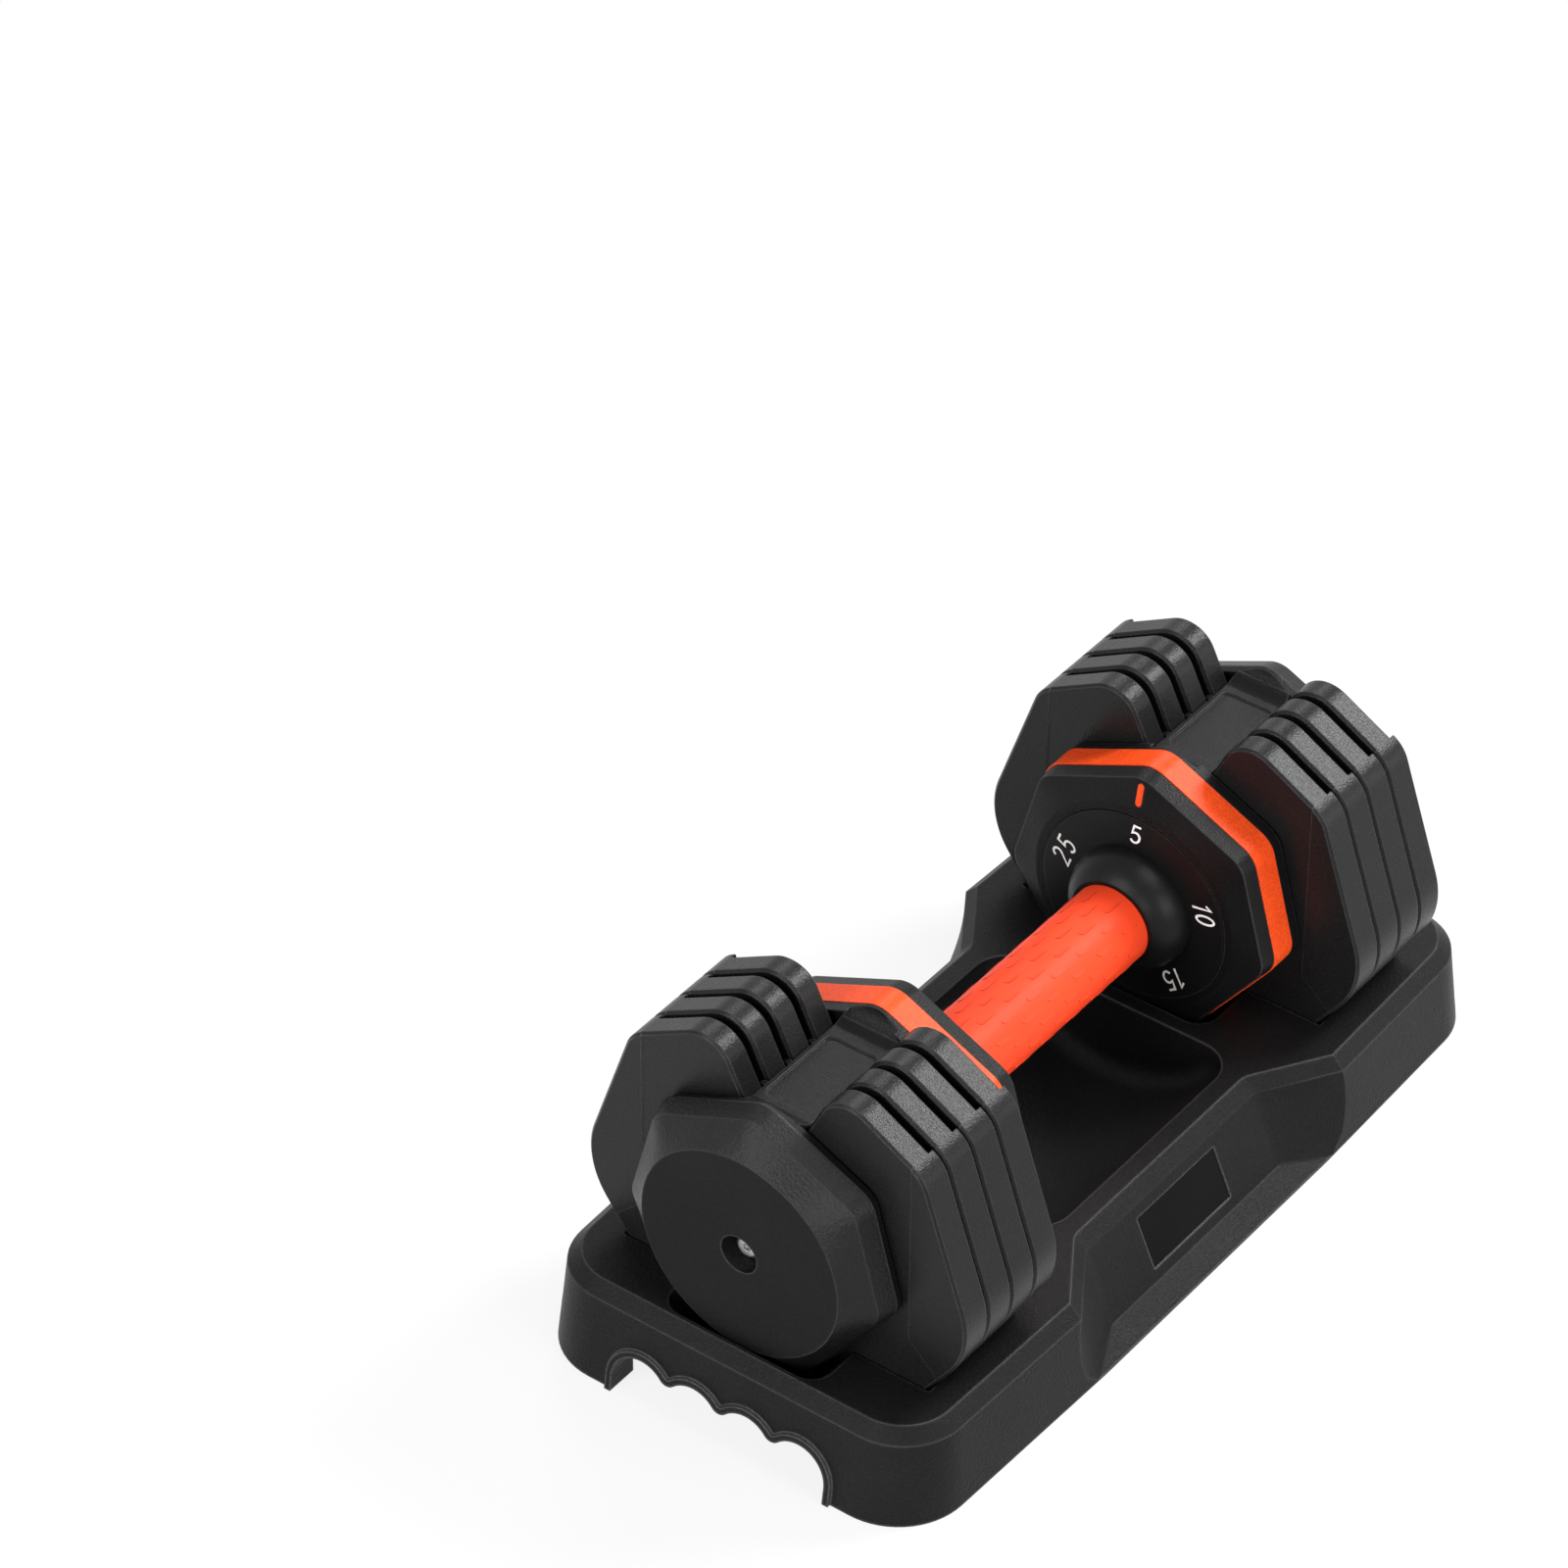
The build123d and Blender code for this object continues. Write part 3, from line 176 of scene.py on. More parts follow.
class DumbbellColours(bpy.types.PropertyGroup):
    """Colours of the finishes."""

    tray: colour_property("Tray", "Moulded plastic of the storage tray", (0.0078, 0.0078, 0.0081))
    plate: colour_property("Plates", "Moulded jackets of the weight plates", (0.0088, 0.0088, 0.0091))
    head: colour_property("Heads", "Covers, caps and bridges of the handle", (0.0060, 0.0060, 0.0063))
    dial: colour_property("Dials", "Smooth dials and hubs", (0.0060, 0.0060, 0.0063))
    grip: colour_property("Grip", "Rubber of the grip", (0.94, 0.060, 0.013))
    band: colour_property("Bands", "Bands round the heads and index marks", (0.98, 0.070, 0.011))
    numeral: colour_property("Numerals", "Printed dial numerals", (0.94, 0.94, 0.93))
    steel: colour_property("Steel", "Screws, washers and pins", (0.56, 0.56, 0.55))
    chrome: colour_property("Chrome", "Selector sleeves", (0.74, 0.75, 0.76))


class DumbbellSizes(bpy.types.PropertyGroup):
    """Sizes of the pieces made here."""

    numeral_radius: length_property("Numeral circle", "Dial centre to numeral centre", 32.4 * MM)
    numeral_height: length_property("Numeral height", "Height of a digit", 8.6 * MM)
    numeral_stroke: FloatProperty(
        name="Numeral stroke", description="Line width against a digit's height", min=0.01, default=0.108
    )
    numeral_gap: FloatProperty(
        name="Numeral gap", description="Room between two digits against their height", min=0.0, default=0.29
    )
    numeral_slant: FloatProperty(name="Numeral slant", description="Lean of the digits", default=0.14)
    numeral_rise: length_property("Numeral rise", "Print thickness above the dial", 0.08 * MM)
    badge_length: length_property("Badge length", "Bare plate on each waist wall", 47.6 * MM)
    badge_height: length_property("Badge height", "Bare plate on each waist wall", 20.6 * MM)
    badge_thickness: length_property("Badge thickness", "Bare plate on each waist wall", 0.4 * MM)
    tread_rise: length_property("Tread rise", "Height of a tread mark's step", 0.27 * MM)
    tread_pitch: length_property("Tread pitch", "Spacing of marks along the grip", 15.4 * MM)
    tread_rows: IntProperty(name="Tread rows", description="Rows of marks round the grip", min=1, default=20)
    tread_columns: IntProperty(name="Tread marks", description="Marks along each row", min=1, default=6)


class DumbbellStudio(bpy.types.PropertyGroup):
    """Camera and light."""

    camera_place: FloatVectorProperty(
        name="Camera", description="Where the camera stands", unit="LENGTH", size=3,
        default=(-1.4870, -1.0191, 1.6147),
    )
    camera_turn: FloatVectorProperty(
        name="Camera turn", description="How the camera is turned", subtype="EULER", unit="ROTATION", size=3,
        default=(math.radians(51.4265), 0.0, math.radians(-52.8518)),
    )
    lens: FloatProperty(name="Lens", description="Focal length in millimetres", min=1.0, default=152.36)
    ambient: FloatProperty(
        name="Ambient", description="Strength of the soft light all round", min=0.0, default=0.06
    )
    key_power: power_property("Key lamp", "Soft lamp high on the right", 60.0)
    fill_power: power_property("Fill lamp", "Soft lamp low on the right", 5.0)
    back_power: power_property("Back lamp", "Soft lamp high behind", 17.0)
    end_power: power_property("End lamp", "Soft lamp off the near end", 22.0)
    low_power: power_property("Low lamp", "Soft lamp low at the near corner", 15.0)
    side_power: power_property("Side lamp", "Soft lamp square to the near long side", 14.0)
    top_power: power_property("Top lamp", "Soft lamp overhead", 15.0)
    floor: colour_property("Floor", "Pale studio floor", (0.85, 0.85, 0.85))


def shade(colour, factor):
    """A colour made lighter or darker."""
    return tuple(min(1.0, c * factor) for c in colour)


def colour_socket(sockets, name):
    """The colour socket of that name, which a Mix node's other sockets share."""
    return next(s for s in sockets if s.name == name and s.type == "RGBA")


class NodeSheet:
    """A material's nodes, with short ways to add and join them."""

    def __init__(self, name):
        self.material = bpy.data.materials.new(name)
        self.material.use_nodes = True
        self.tree = self.material.node_tree
        self.tree.nodes.clear()
        self.output = self.add("ShaderNodeOutputMaterial")
        self.shader = self.add("ShaderNodeBsdfPrincipled")
        self.join(self.shader, "BSDF", self.output, "Surface")
        self.coordinates = self.add("ShaderNodeTexCoord")

    def add(self, kind, **settings):
        """A new node with these settings."""
        node = self.tree.nodes.new(kind)
        for key, value in settings.items():
            setattr(node, key, value)
        return node

    def join(self, source, output, target, entry):
        """A link from one node's output to another's input."""
        self.tree.links.new(source.outputs[output], target.inputs[entry])

    def set(self, node, **values):
        """Gives inputs their values; an underscore stands for a space."""
        for key, value in values.items():
            node.inputs[key.replace("_", " ")].default_value = value

    def math(self, operation, first, second):
        """A Math node on two (node, output) pairs or numbers."""
        node = self.add("ShaderNodeMath", operation=operation)
        for place, value in enumerate((first, second)):
            if isinstance(value, (int, float)):
                node.inputs[place].default_value = value
            else:
                self.tree.links.new(value[0].outputs[value[1]], node.inputs[place])
        return node

    def noise(self, size, detail=4.0, roughness=0.55):
        """Object-space noise with features about size metres across."""
        node = self.add("ShaderNodeTexNoise")
        self.join(self.coordinates, "Object", node, "Vector")
        self.set(node, Scale=1.0 / size, Detail=detail, Roughness=roughness)
        return node

    def pebbles(self, size):
        """Object-space cells about size metres across."""
        node = self.add("ShaderNodeTexVoronoi", feature="SMOOTH_F1")
        self.join(self.coordinates, "Object", node, "Vector")
        self.set(node, Scale=1.0 / size, Smoothness=PEBBLE_SMOOTHNESS)
        return node

    def spread(self, source, output, span, low, high):
        """Map Range of a node's output from a span to low..high."""
        node = self.add("ShaderNodeMapRange")
        self.join(source, output, node, "Value")
        self.set(node, From_Min=span[0], From_Max=span[1], To_Min=low, To_Max=high)
        return node

    def vary(self, noise, low, high):
        """A noise's values spread over low..high."""
        return self.spread(noise, "Fac", NOISE_SPAN, low, high)

    def blend(self, factor, output, first, second):
        """Mix of two colours or Mix nodes by a node's output."""
        node = self.add("ShaderNodeMix", data_type="RGBA")
        self.join(factor, output, node, "Factor")
        for entry, value in (("A", first), ("B", second)):
            socket = colour_socket(node.inputs, entry)
            if isinstance(value, bpy.types.Node):
                self.tree.links.new(colour_socket(value.outputs, "Result"), socket)
            else:
                socket.default_value = (*value, 1.0)
        return node

    def mottle(self, noise, colour, dark, light):
        """Mix of two shades of a colour by a noise."""
        return self.blend(self.vary(noise, 0.0, 1.0), "Result", shade(colour, dark), shade(colour, light))

    def paint(self, mix):
        """A Mix node's colour into the shader."""
        self.tree.links.new(colour_socket(mix.outputs, "Result"), self.shader.inputs["Base Color"])

    def uneven_gloss(self, noise, low, high):
        """A roughness that follows a noise."""
        self.join(self.vary(noise, low, high), "Result", self.shader, "Roughness")

    def relief(self, source, output, depth, strength=1.0, bevel=None):
        """A bump depth metres high, over soft edges where there are some."""
        node = self.add("ShaderNodeBump")
        self.set(node, Strength=strength, Distance=depth)
        self.join(source, output, node, "Height")
        if bevel is not None:
            self.join(bevel, "Normal", node, "Normal")
        self.join(node, "Normal", self.shader, "Normal")
        return node

    def soft_edges(self, radius):
        """A normal rounded over edges by radius metres."""
        node = self.add("ShaderNodeBevel", samples=EDGE_SAMPLES)
        self.set(node, Radius=radius)
        return node

    def edge_mask(self, bevel):
        """Nearly 0 on flats, 1 on sharp edges."""
        geometry = self.add("ShaderNodeNewGeometry")
        dot = self.add("ShaderNodeVectorMath", operation="DOT_PRODUCT")
        self.join(bevel, "Normal", dot, 0)
        self.join(geometry, "Normal", dot, 1)
        return self.spread(dot, "Value", EDGE_COSINES, 0.0, 1.0)


def moulded_plastic(name, colour, roughness, grain, depth, edge, rub_and_highlight=1.9, specular=0.12, end_face=None):
    """Moulded plastic with a pebbled grain, a faint drift of tone and lighter edges, partly rubbed wear and
    partly painted highlight.

    In metres, grain is a pebble's size, depth its height and edge the radius of the soft edges; rub is
    the shade of a lighter edge, partly rubbed wear and partly painted highlight. A piece whose flat ends
    lie end_face metres from the middle is smooth and dull there.
    """
    sheet = NodeSheet(name)
    pebbles = sheet.pebbles(grain)
    fine = sheet.noise(grain * FINE_SIZE, roughness=FINE_ROUGHNESS)
    raised = sheet.math("MULTIPLY", (pebbles, "Distance"), PEBBLE_RELIEF)
    height = sheet.math("ADD", (raised, "Value"), (fine, "Fac"))
    bevel = sheet.soft_edges(edge)
    bump = sheet.relief(height, "Value", depth, bevel=bevel)
    drift = sheet.vary(sheet.noise(DRIFT_SIZE), 0.0, DRIFT_TONE)
    speckle = sheet.spread(pebbles, "Distance", PEBBLE_SPAN, 0.0, PEBBLE_TONE)
    tone = sheet.math("ADD", (drift, "Result"), (speckle, "Result"))
    body = sheet.blend(tone, "Value", shade(colour, DARK_TONE), shade(colour, LIGHT_TONE))
    # Edges are lightened towards the rub shade: partly rubbed wear, partly a painted highlight where edges
    # would catch the lamps.
    edges = sheet.edge_mask(bevel)
    wear_and_highlight = sheet.math("MULTIPLY", (edges, "Result"), (fine, "Fac"))
    sheet.paint(sheet.blend(wear_and_highlight, "Value", body, shade(colour, rub_and_highlight)))
    gloss = sheet.vary(fine, roughness - GLOSS_DRIFT, roughness + GLOSS_DRIFT)
    polish = sheet.math("MULTIPLY", (edges, "Result"), max(0.0, roughness - POLISHED))
    rubbed = sheet.math("SUBTRACT", (gloss, "Result"), (polish, "Value"))
    sheet.join(rubbed, "Value", sheet.shader, "Roughness")
    sheet.set(sheet.shader, Specular_IOR_Level=specular)
    if end_face:
        place = sheet.add("ShaderNodeSeparateXYZ")
        sheet.join(sheet.coordinates, "Object", place, "Vector")
        reach = sheet.math("ABSOLUTE", (place, "X"), 0.0)
        span = [end_face - below for below in FLAT_DEPTHS]
        for node, entry, elsewhere, flat in (
            (bump, "Strength", 1.0, FLAT_RELIEF),
            (sheet.shader, "Specular IOR Level", specular, FLAT_SHEEN),
        ):
            sheet.join(sheet.spread(reach, "Value", span, elsewhere, flat), "Result", node, entry)
    return sheet.material


def soft_rubber(name, colour, painted_step_shade=False):
    """Matt rubber with a fine tooth and a faint bloom, with painted shade that darkens the walls of its
    steps.
    """
    painted_wall_shade = 0.42
    sheet = NodeSheet(name)
    tooth = sheet.noise(0.45 * MM, detail=3.0, roughness=0.6)
    body = sheet.mottle(sheet.noise(18.0 * MM), colour, dark=0.93, light=1.05)
    if painted_step_shade:
        # painted shade: the step walls take a darker rubber colour in place of the shade they stand in
        steps = sheet.add("ShaderNodeAttribute", attribute_name=STEP_WALL)
        body = sheet.blend(steps, "Fac", body, shade(colour, painted_wall_shade))
    sheet.paint(body)
    sheet.relief(tooth, "Fac", depth=0.03 * MM, strength=0.6)
    sheet.uneven_gloss(tooth, low=0.46, high=0.62)
    sheet.set(sheet.shader, Specular_IOR_Level=0.2)
    return sheet.material


def turned_steel(name, colour, roughness, ring):
    """Plated or turned steel with fine marks round the long axis."""
    sheet = NodeSheet(name)
    sheet.set(sheet.shader, Metallic=1.0)
    marks = sheet.add("ShaderNodeTexWave", wave_type="BANDS", bands_direction="X", wave_profile="SAW")
    sheet.join(sheet.coordinates, "Object", marks, "Vector")
    sheet.set(marks, Scale=1.0 / ring, Distortion=3.0, Detail=3.0, Detail_Scale=2.0)
    cloud = sheet.noise(6.0 * MM)
    sheet.paint(sheet.mottle(cloud, colour, dark=0.86, light=1.04))
    sheet.relief(marks, "Fac", depth=0.02 * MM, strength=0.35, bevel=sheet.soft_edges(0.3 * MM))
    sheet.uneven_gloss(cloud, low=roughness - 0.05, high=roughness + 0.09)
    return sheet.material


def print_ink(name, colour):
    """Pad-printed white ink, slightly uneven."""
    sheet = NodeSheet(name)
    patches = sheet.noise(1.2 * MM)
    sheet.paint(sheet.mottle(patches, colour, dark=0.95, light=1.06))
    sheet.uneven_gloss(patches, low=0.42, high=0.55)
    sheet.relief(patches, "Fac", depth=0.02 * MM, strength=0.3)
    return sheet.material


def finish_of(node):
    """The name of a CAD node's finish."""
    if "_core" in node:
        return "core_steel"
    return next((finish for start, finish in FINISHES if node.startswith(start)), PLAIN_FINISH)


def dress(node, material):
    """Gives a CAD node's object one material."""
    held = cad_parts[node]
    if not held.material_slots:
        held.data.materials.append(material)
    for slot in held.material_slots:
        slot.material = material


def new_piece(name, mesh, material, body):
    """An object at the origin that rides on a body."""
    piece = bpy.data.objects.new(name, mesh)
    bpy.context.scene.collection.objects.link(piece)
    mesh.materials.clear()
    mesh.materials.append(material)
    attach(piece, body)
    return piece


class DUMBBELL_OT_finishes(bpy.types.Operator):
    """Give every solid its finish."""

    bl_idname = "dumbbell.finishes"
    bl_label = "Finishes"

    def execute(self, context):
        colours = context.scene.dumbbell_colours
        paints = {
            "tray_shell_grain": colours.tray,
            "plate_grain": colours.plate,
            "head_grain": colours.head,
            "cap_grain": colours.head,
            "dial_satin": colours.dial,
            "badge_satin": BADGE_COLOUR,
            "guide_acetal": GUIDE_COLOUR,
            "band_satin": colours.band,
        }
        made = {name: moulded_plastic(name, paint, **MOULDINGS[name]) for name, paint in paints.items()}
        made["grip_rubber"] = soft_rubber("grip_rubber", colours.grip)
        for name, colour, roughness, ring in (
            ("turned_steel", colours.steel, 0.3, 0.9 * MM),
            ("selector_chrome", colours.chrome, 0.13, 0.6 * MM),
            ("core_steel", shade(colours.steel, 0.6), 0.42, 1.4 * MM),
        ):
            made[name] = turned_steel(name, colour, roughness, ring)
        print_ink("numeral_ink", colours.numeral)
        # the tread's rubber, with painted shade on the walls of its steps
        soft_rubber("tread_rubber", colours.grip, painted_step_shade=True)
        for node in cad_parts:
            dress(node, made[finish_of(node)])
        return {"FINISHED"}


class DUMBBELL_OT_badge_plates(bpy.types.Operator):
    """Lay a smooth bare plate in the panel of each waist wall."""

    bl_idname = "dumbbell.badge_plates"
    bl_label = "Badge plates"

    def execute(self, context):
        sizes = context.scene.dumbbell_sizes
        size = Matrix.Diagonal((sizes.badge_length, sizes.badge_height, sizes.badge_thickness, 1.0))
        seat = PANEL_MIDDLE - (PANEL_DEPTH - sizes.badge_thickness / 2.0) * PANEL_NORMAL
        joined = bmesh.new()
        for side in (-1.0, 1.0):
            outward = Vector((0.0, side * PANEL_NORMAL.y, PANEL_NORMAL.z))
            along = Vector((side, 0.0, 0.0))
            spin = Matrix((along, outward.cross(along), outward)).transposed().to_4x4()
            place = Matrix.Translation((0.0, side * seat.y, seat.z))
            bmesh.ops.create_cube(joined, size=1.0, matrix=place @ spin @ size)
        data = bpy.data.meshes.new("badge_plates")
        joined.to_mesh(data)
        joined.free()
        new_piece("badge_plates", data, bpy.data.materials["badge_satin"], "tray")
        return {"FINISHED"}


def hook_path():
    """A tread mark's line: along the grip, round it, and the way in from the line at each point."""
    straight_end = 4.4 * MM
    straight_steps = 6
    hook_at = -2.3 * MM
    hook_turn = math.radians(105.0)
    hook_steps = 8
    side = 1.2 * MM
    bend = 2.1 * MM
    path = []
    for k in range(straight_steps + 1):
        along = straight_end - k * (straight_end - hook_at) / straight_steps
        path.append((along, side, (0.0, -1.0)))
    for k in range(1, hook_steps + 1):
        turn = hook_turn * k / hook_steps
        inward = (math.sin(turn), -math.cos(turn))
        path.append((hook_at - bend * math.sin(turn), side - bend * (1.0 - math.cos(turn)), inward))
    return path


def tread_mark(rise):
    """One tread mark on the crown of the grip: a hooked step whose top fades back into the surface."""
    fade = 2.6 * MM
    lean = 0.16 * MM
    sunk = -0.15 * MM
    first_lift, climb, fall = 0.1, 4.0, 3.0
    path = hook_path()
    last = len(path) - 1
    mesh = bmesh.new()
    wall = mesh.faces.layers.float.new(STEP_WALL)
    rings = []
    for k, (along, across, inward) in enumerate(path):
        lift = rise * min(1.0, first_lift + climb * k / last, fall * (last - k) / last)
        ring = []
        for step, height in ((0.0, sunk), (lean, lift), (fade, sunk)):
            turn = (across + step * inward[1]) / GRIP_RADIUS
            reach = GRIP_RADIUS + height
            place = (along + step * inward[0], -reach * math.sin(turn), reach * math.cos(turn))
            ring.append(mesh.verts.new(place))
        rings.append(ring)
    for first, second in zip(rings, rings[1:]):
        for k in range(3):
            face = mesh.faces.new((first[k], second[k], second[(k + 1) % 3], first[(k + 1) % 3]))
            # 1 marks the upright wall, which the tread rubber darkens as painted shade
            face[wall] = 1.0 if k == 0 else 0.0
    mesh.faces.new(rings[0])
    mesh.faces.new(list(reversed(rings[-1])))
    for first, second in zip(rings, rings[1:]):
        for k in range(3):
            mesh.edges.get((first[k], second[k])).smooth = False
    bmesh.ops.recalc_face_normals(mesh, faces=mesh.faces)
    data = bpy.data.meshes.new("tread_mark")
    mesh.to_mesh(data)
    mesh.free()
    for face in data.polygons:
        face.use_smooth = True
    return data


def tread_tree():
    """Geometry Nodes: marks in rows round the long axis, every second row half a pitch further on."""
    tree = bpy.data.node_groups.new("grip_tread", "GeometryNodeTree")
    sockets = {}
    for name, kind in (
        ("Geometry", "NodeSocketGeometry"),
        ("Mark", "NodeSocketObject"),
        ("Rows", "NodeSocketInt"),
        ("Columns", "NodeSocketInt"),
        ("Pitch", "NodeSocketFloat"),
        ("Height", "NodeSocketFloat"),
        ("Material", "NodeSocketMaterial"),
    ):
        sockets[name] = tree.interface.new_socket(name, in_out="INPUT", socket_type=kind)
    tree.interface.new_socket("Geometry", in_out="OUTPUT", socket_type="NodeSocketGeometry")
    nodes = tree.nodes
    link = tree.links.new
    given = nodes.new("NodeGroupInput").outputs
    result = nodes.new("NodeGroupOutput")

    def work_out(operation, first, second):
        """The output of a Math node on two sockets or numbers."""
        node = nodes.new("ShaderNodeMath")
        node.operation = operation
        for place, value in enumerate((first, second)):
            if isinstance(value, (int, float)):
                node.inputs[place].default_value = value
            else:
                link(value, node.inputs[place])
        return node.outputs[0]

    index = nodes.new("GeometryNodeInputIndex").outputs[0]
    line = nodes.new("GeometryNodeMeshLine")
    link(work_out("MULTIPLY", given["Rows"], given["Columns"]), line.inputs["Count"])
    line.inputs["Offset"].default_value = (0.0, 0.0, 0.0)
    row = work_out("FLOOR", work_out("DIVIDE", index, given["Columns"]), 0.0)
    column = work_out("SUBTRACT", index, work_out("MULTIPLY", row, given["Columns"]))
    stagger = work_out("MULTIPLY", work_out("MODULO", row, 2.0), 0.5)
    middle = work_out("MULTIPLY", work_out("SUBTRACT", given["Columns"], 0.5), 0.5)
    step = work_out("SUBTRACT", work_out("ADD", column, stagger), middle)
    place = nodes.new("ShaderNodeCombineXYZ")
    link(work_out("MULTIPLY", work_out("ADD", step, TREAD_SHIFT), given["Pitch"]), place.inputs["X"])
    link(given["Height"], place.inputs["Z"])
    turn = nodes.new("ShaderNodeCombineXYZ")
    link(work_out("DIVIDE", work_out("MULTIPLY", row, 2.0 * math.pi), given["Rows"]), turn.inputs["X"])
    moved = nodes.new("GeometryNodeSetPosition")
    link(line.outputs["Mesh"], moved.inputs["Geometry"])
    link(place.outputs["Vector"], moved.inputs["Position"])
    mark = nodes.new("GeometryNodeObjectInfo")
    link(given["Mark"], mark.inputs["Object"])
    spread = nodes.new("GeometryNodeInstanceOnPoints")
    link(moved.outputs["Geometry"], spread.inputs["Points"])
    link(mark.outputs["Geometry"], spread.inputs["Instance"])
    link(turn.outputs["Vector"], spread.inputs["Rotation"])
    real = nodes.new("GeometryNodeRealizeInstances")
    link(spread.outputs["Instances"], real.inputs["Geometry"])
    coat = nodes.new("GeometryNodeSetMaterial")
    link(real.outputs["Geometry"], coat.inputs["Geometry"])
    link(given["Material"], coat.inputs["Material"])
    link(coat.outputs["Geometry"], result.inputs["Geometry"])
    return tree, sockets


class DUMBBELL_OT_grip_tread(bpy.types.Operator):
    """Raise the hooked tread marks on the grip."""

    bl_idname = "dumbbell.grip_tread"
    bl_label = "Grip tread"

    def execute(self, context):
        sizes = context.scene.dumbbell_sizes
        rubber = bpy.data.materials["tread_rubber"]
        mark = bpy.data.objects.new("tread_mark", tread_mark(sizes.tread_rise))
        holder = bpy.data.objects.new("tread_holder", bpy.data.meshes.new("tread_holder"))
        for item in (mark, holder):
            context.scene.collection.objects.link(item)
        tree, sockets = tread_tree()
        modifier = holder.modifiers.new("tread", "NODES")
        modifier.node_group = tree
        for name, value in (
            ("Mark", mark),
            ("Rows", sizes.tread_rows),
            ("Columns", sizes.tread_columns),
            ("Pitch", sizes.tread_pitch),
            ("Height", AXIS_Z),
            ("Material", rubber),
        ):
            modifier[sockets[name].identifier] = value
        context.view_layer.update()
        mesh = bpy.data.meshes.new_from_object(holder.evaluated_get(context.evaluated_depsgraph_get()))
        mesh.name = "grip_tread"
        for item in (mark, holder):
            bpy.data.objects.remove(item, do_unlink=True)
        new_piece("grip_tread", mesh, rubber, "grip")
        return {"FINISHED"}


def arc(middle, radii, start, end, steps):
    """Points along an arc, its angles in degrees."""
    turns = [math.radians(start + (end - start) * k / steps) for k in range(steps + 1)]
    return [(middle[0] + radii[0] * math.cos(t), middle[1] + radii[1] * math.sin(t)) for t in turns]


# Centre lines of the digits, one unit high.
DIGITS = {
    "0": arc((0.27, 0.5), (0.21, 0.44), 90.0, 450.0, 36),
    "1": [(0.03, 0.74), (0.24, 0.93), (0.24, 0.0)],
    "2": arc((0.27, 0.70), (0.21, 0.24), 165.0, -42.0, 16) + [(0.06, 0.06), (0.51, 0.06)],
    "5": [(0.46, 0.94), (0.12, 0.94), (0.08, 0.53), (0.17, 0.585)]
    + arc((0.26, 0.33), (0.22, 0.27), 90.0, -150.0, 20),
}


def stroke(mesh, path, start, width):
    """A flat ribbon along a digit's centre line, mitred at its corners."""
    closed = (Vector(path[0]) - Vector(path[-1])).length < SAME_POINT
    points = [Vector((start + x, y)) for x, y in (path[:-1] if closed else path)]
    count = len(points)
    pairs = []
    for k, point in enumerate(points):
        before = points[k - 1] if k or closed else point
        after = points[(k + 1) % count] if k < count - 1 or closed else point
        steps = [step.normalized() for step in (point - before, after - point) if step.length]
        normals = [Vector((-step.y, step.x)) for step in steps]
        middle = sum(normals, Vector((0.0, 0.0))).normalized()
        reach = width / 2.0 * min(MITRE_LIMIT, 1.0 / max(MITRE_COSINE, middle.dot(normals[0])))
        pairs.append([mesh.verts.new((*(point + side * reach * middle), 0.0)) for side in (-1.0, 1.0)])
    for first, second in zip(pairs, pairs[1:] + pairs[:1] if closed else pairs[1:]):
        mesh.faces.new((first[0], second[0], second[1], first[1]))


def numeral_mesh(word, sizes):
    """A numeral as a flat mesh, centred, standing in its own XY plane."""
    drawn = bmesh.new()
    start = 0.0
    for digit in word:
        stroke(drawn, DIGITS[digit], start, sizes.numeral_stroke)
        start += max(x for x, y in DIGITS[digit]) + sizes.numeral_gap
    mesh = bpy.data.meshes.new("numeral_" + word)
    drawn.to_mesh(mesh)
    drawn.free()
    for vertex in mesh.vertices:
        vertex.co.x += sizes.numeral_slant * vertex.co.y
    low = Vector((min(v.co[k] for v in mesh.vertices) for k in range(3)))
    high = Vector((max(v.co[k] for v in mesh.vertices) for k in range(3)))
    grow = Matrix.Diagonal((sizes.numeral_height, sizes.numeral_height, 1.0, 1.0))
    mesh.transform(grow @ Matrix.Translation(-(low + high) / 2.0))
    return mesh


def raise_print(mesh, rise):
    """Gives flat print its thickness along its own +Z, as a closed solid."""
    solid = bmesh.new()
    solid.from_mesh(mesh)
    bmesh.ops.remove_doubles(solid, verts=solid.verts, dist=WELD)
    grown = bmesh.ops.extrude_face_region(solid, geom=list(solid.faces))
    moved = [item for item in grown["geom"] if isinstance(item, bmesh.types.BMVert)]
    bmesh.ops.translate(solid, verts=moved, vec=(0.0, 0.0, rise))
    bmesh.ops.recalc_face_normals(solid, faces=solid.faces)
    solid.to_mesh(mesh)
    solid.free()


class DUMBBELL_OT_dial_numerals(bpy.types.Operator):
    """Print the weights on both dials."""

    bl_idname = "dumbbell.dial_numerals"
    bl_label = "Dial numerals"

    def execute(self, context):
        sizes = context.scene.dumbbell_sizes
        ink = bpy.data.materials["numeral_ink"]
        for side in SIDES:
            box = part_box("dial_" + side)
            face = box[0][0] if side == "right" else box[1][0]
            outward = Vector((-1.0 if side == "right" else 1.0, 0.0, 0.0))
            joined = bmesh.new()
            for number, word in enumerate(WEIGHTS):
                turn = number * 2.0 * math.pi / len(WEIGHTS)
                up = Vector((0.0, -math.sin(turn), math.cos(turn)))
                across = up.cross(outward)
                place = Vector((face, 0.0, AXIS_Z)) + up * sizes.numeral_radius
                mesh = numeral_mesh(word, sizes)
                raise_print(mesh, sizes.numeral_rise)
                spin = Matrix((across, up, outward)).transposed().to_4x4()
                mesh.transform(Matrix.Translation(place) @ spin)
                joined.from_mesh(mesh)
                bpy.data.meshes.remove(mesh)
            data = bpy.data.meshes.new("dial_numerals_" + side)
            joined.to_mesh(data)
            joined.free()
            new_piece("dial_numerals_" + side, data, ink, "grip")
        return {"FINISHED"}


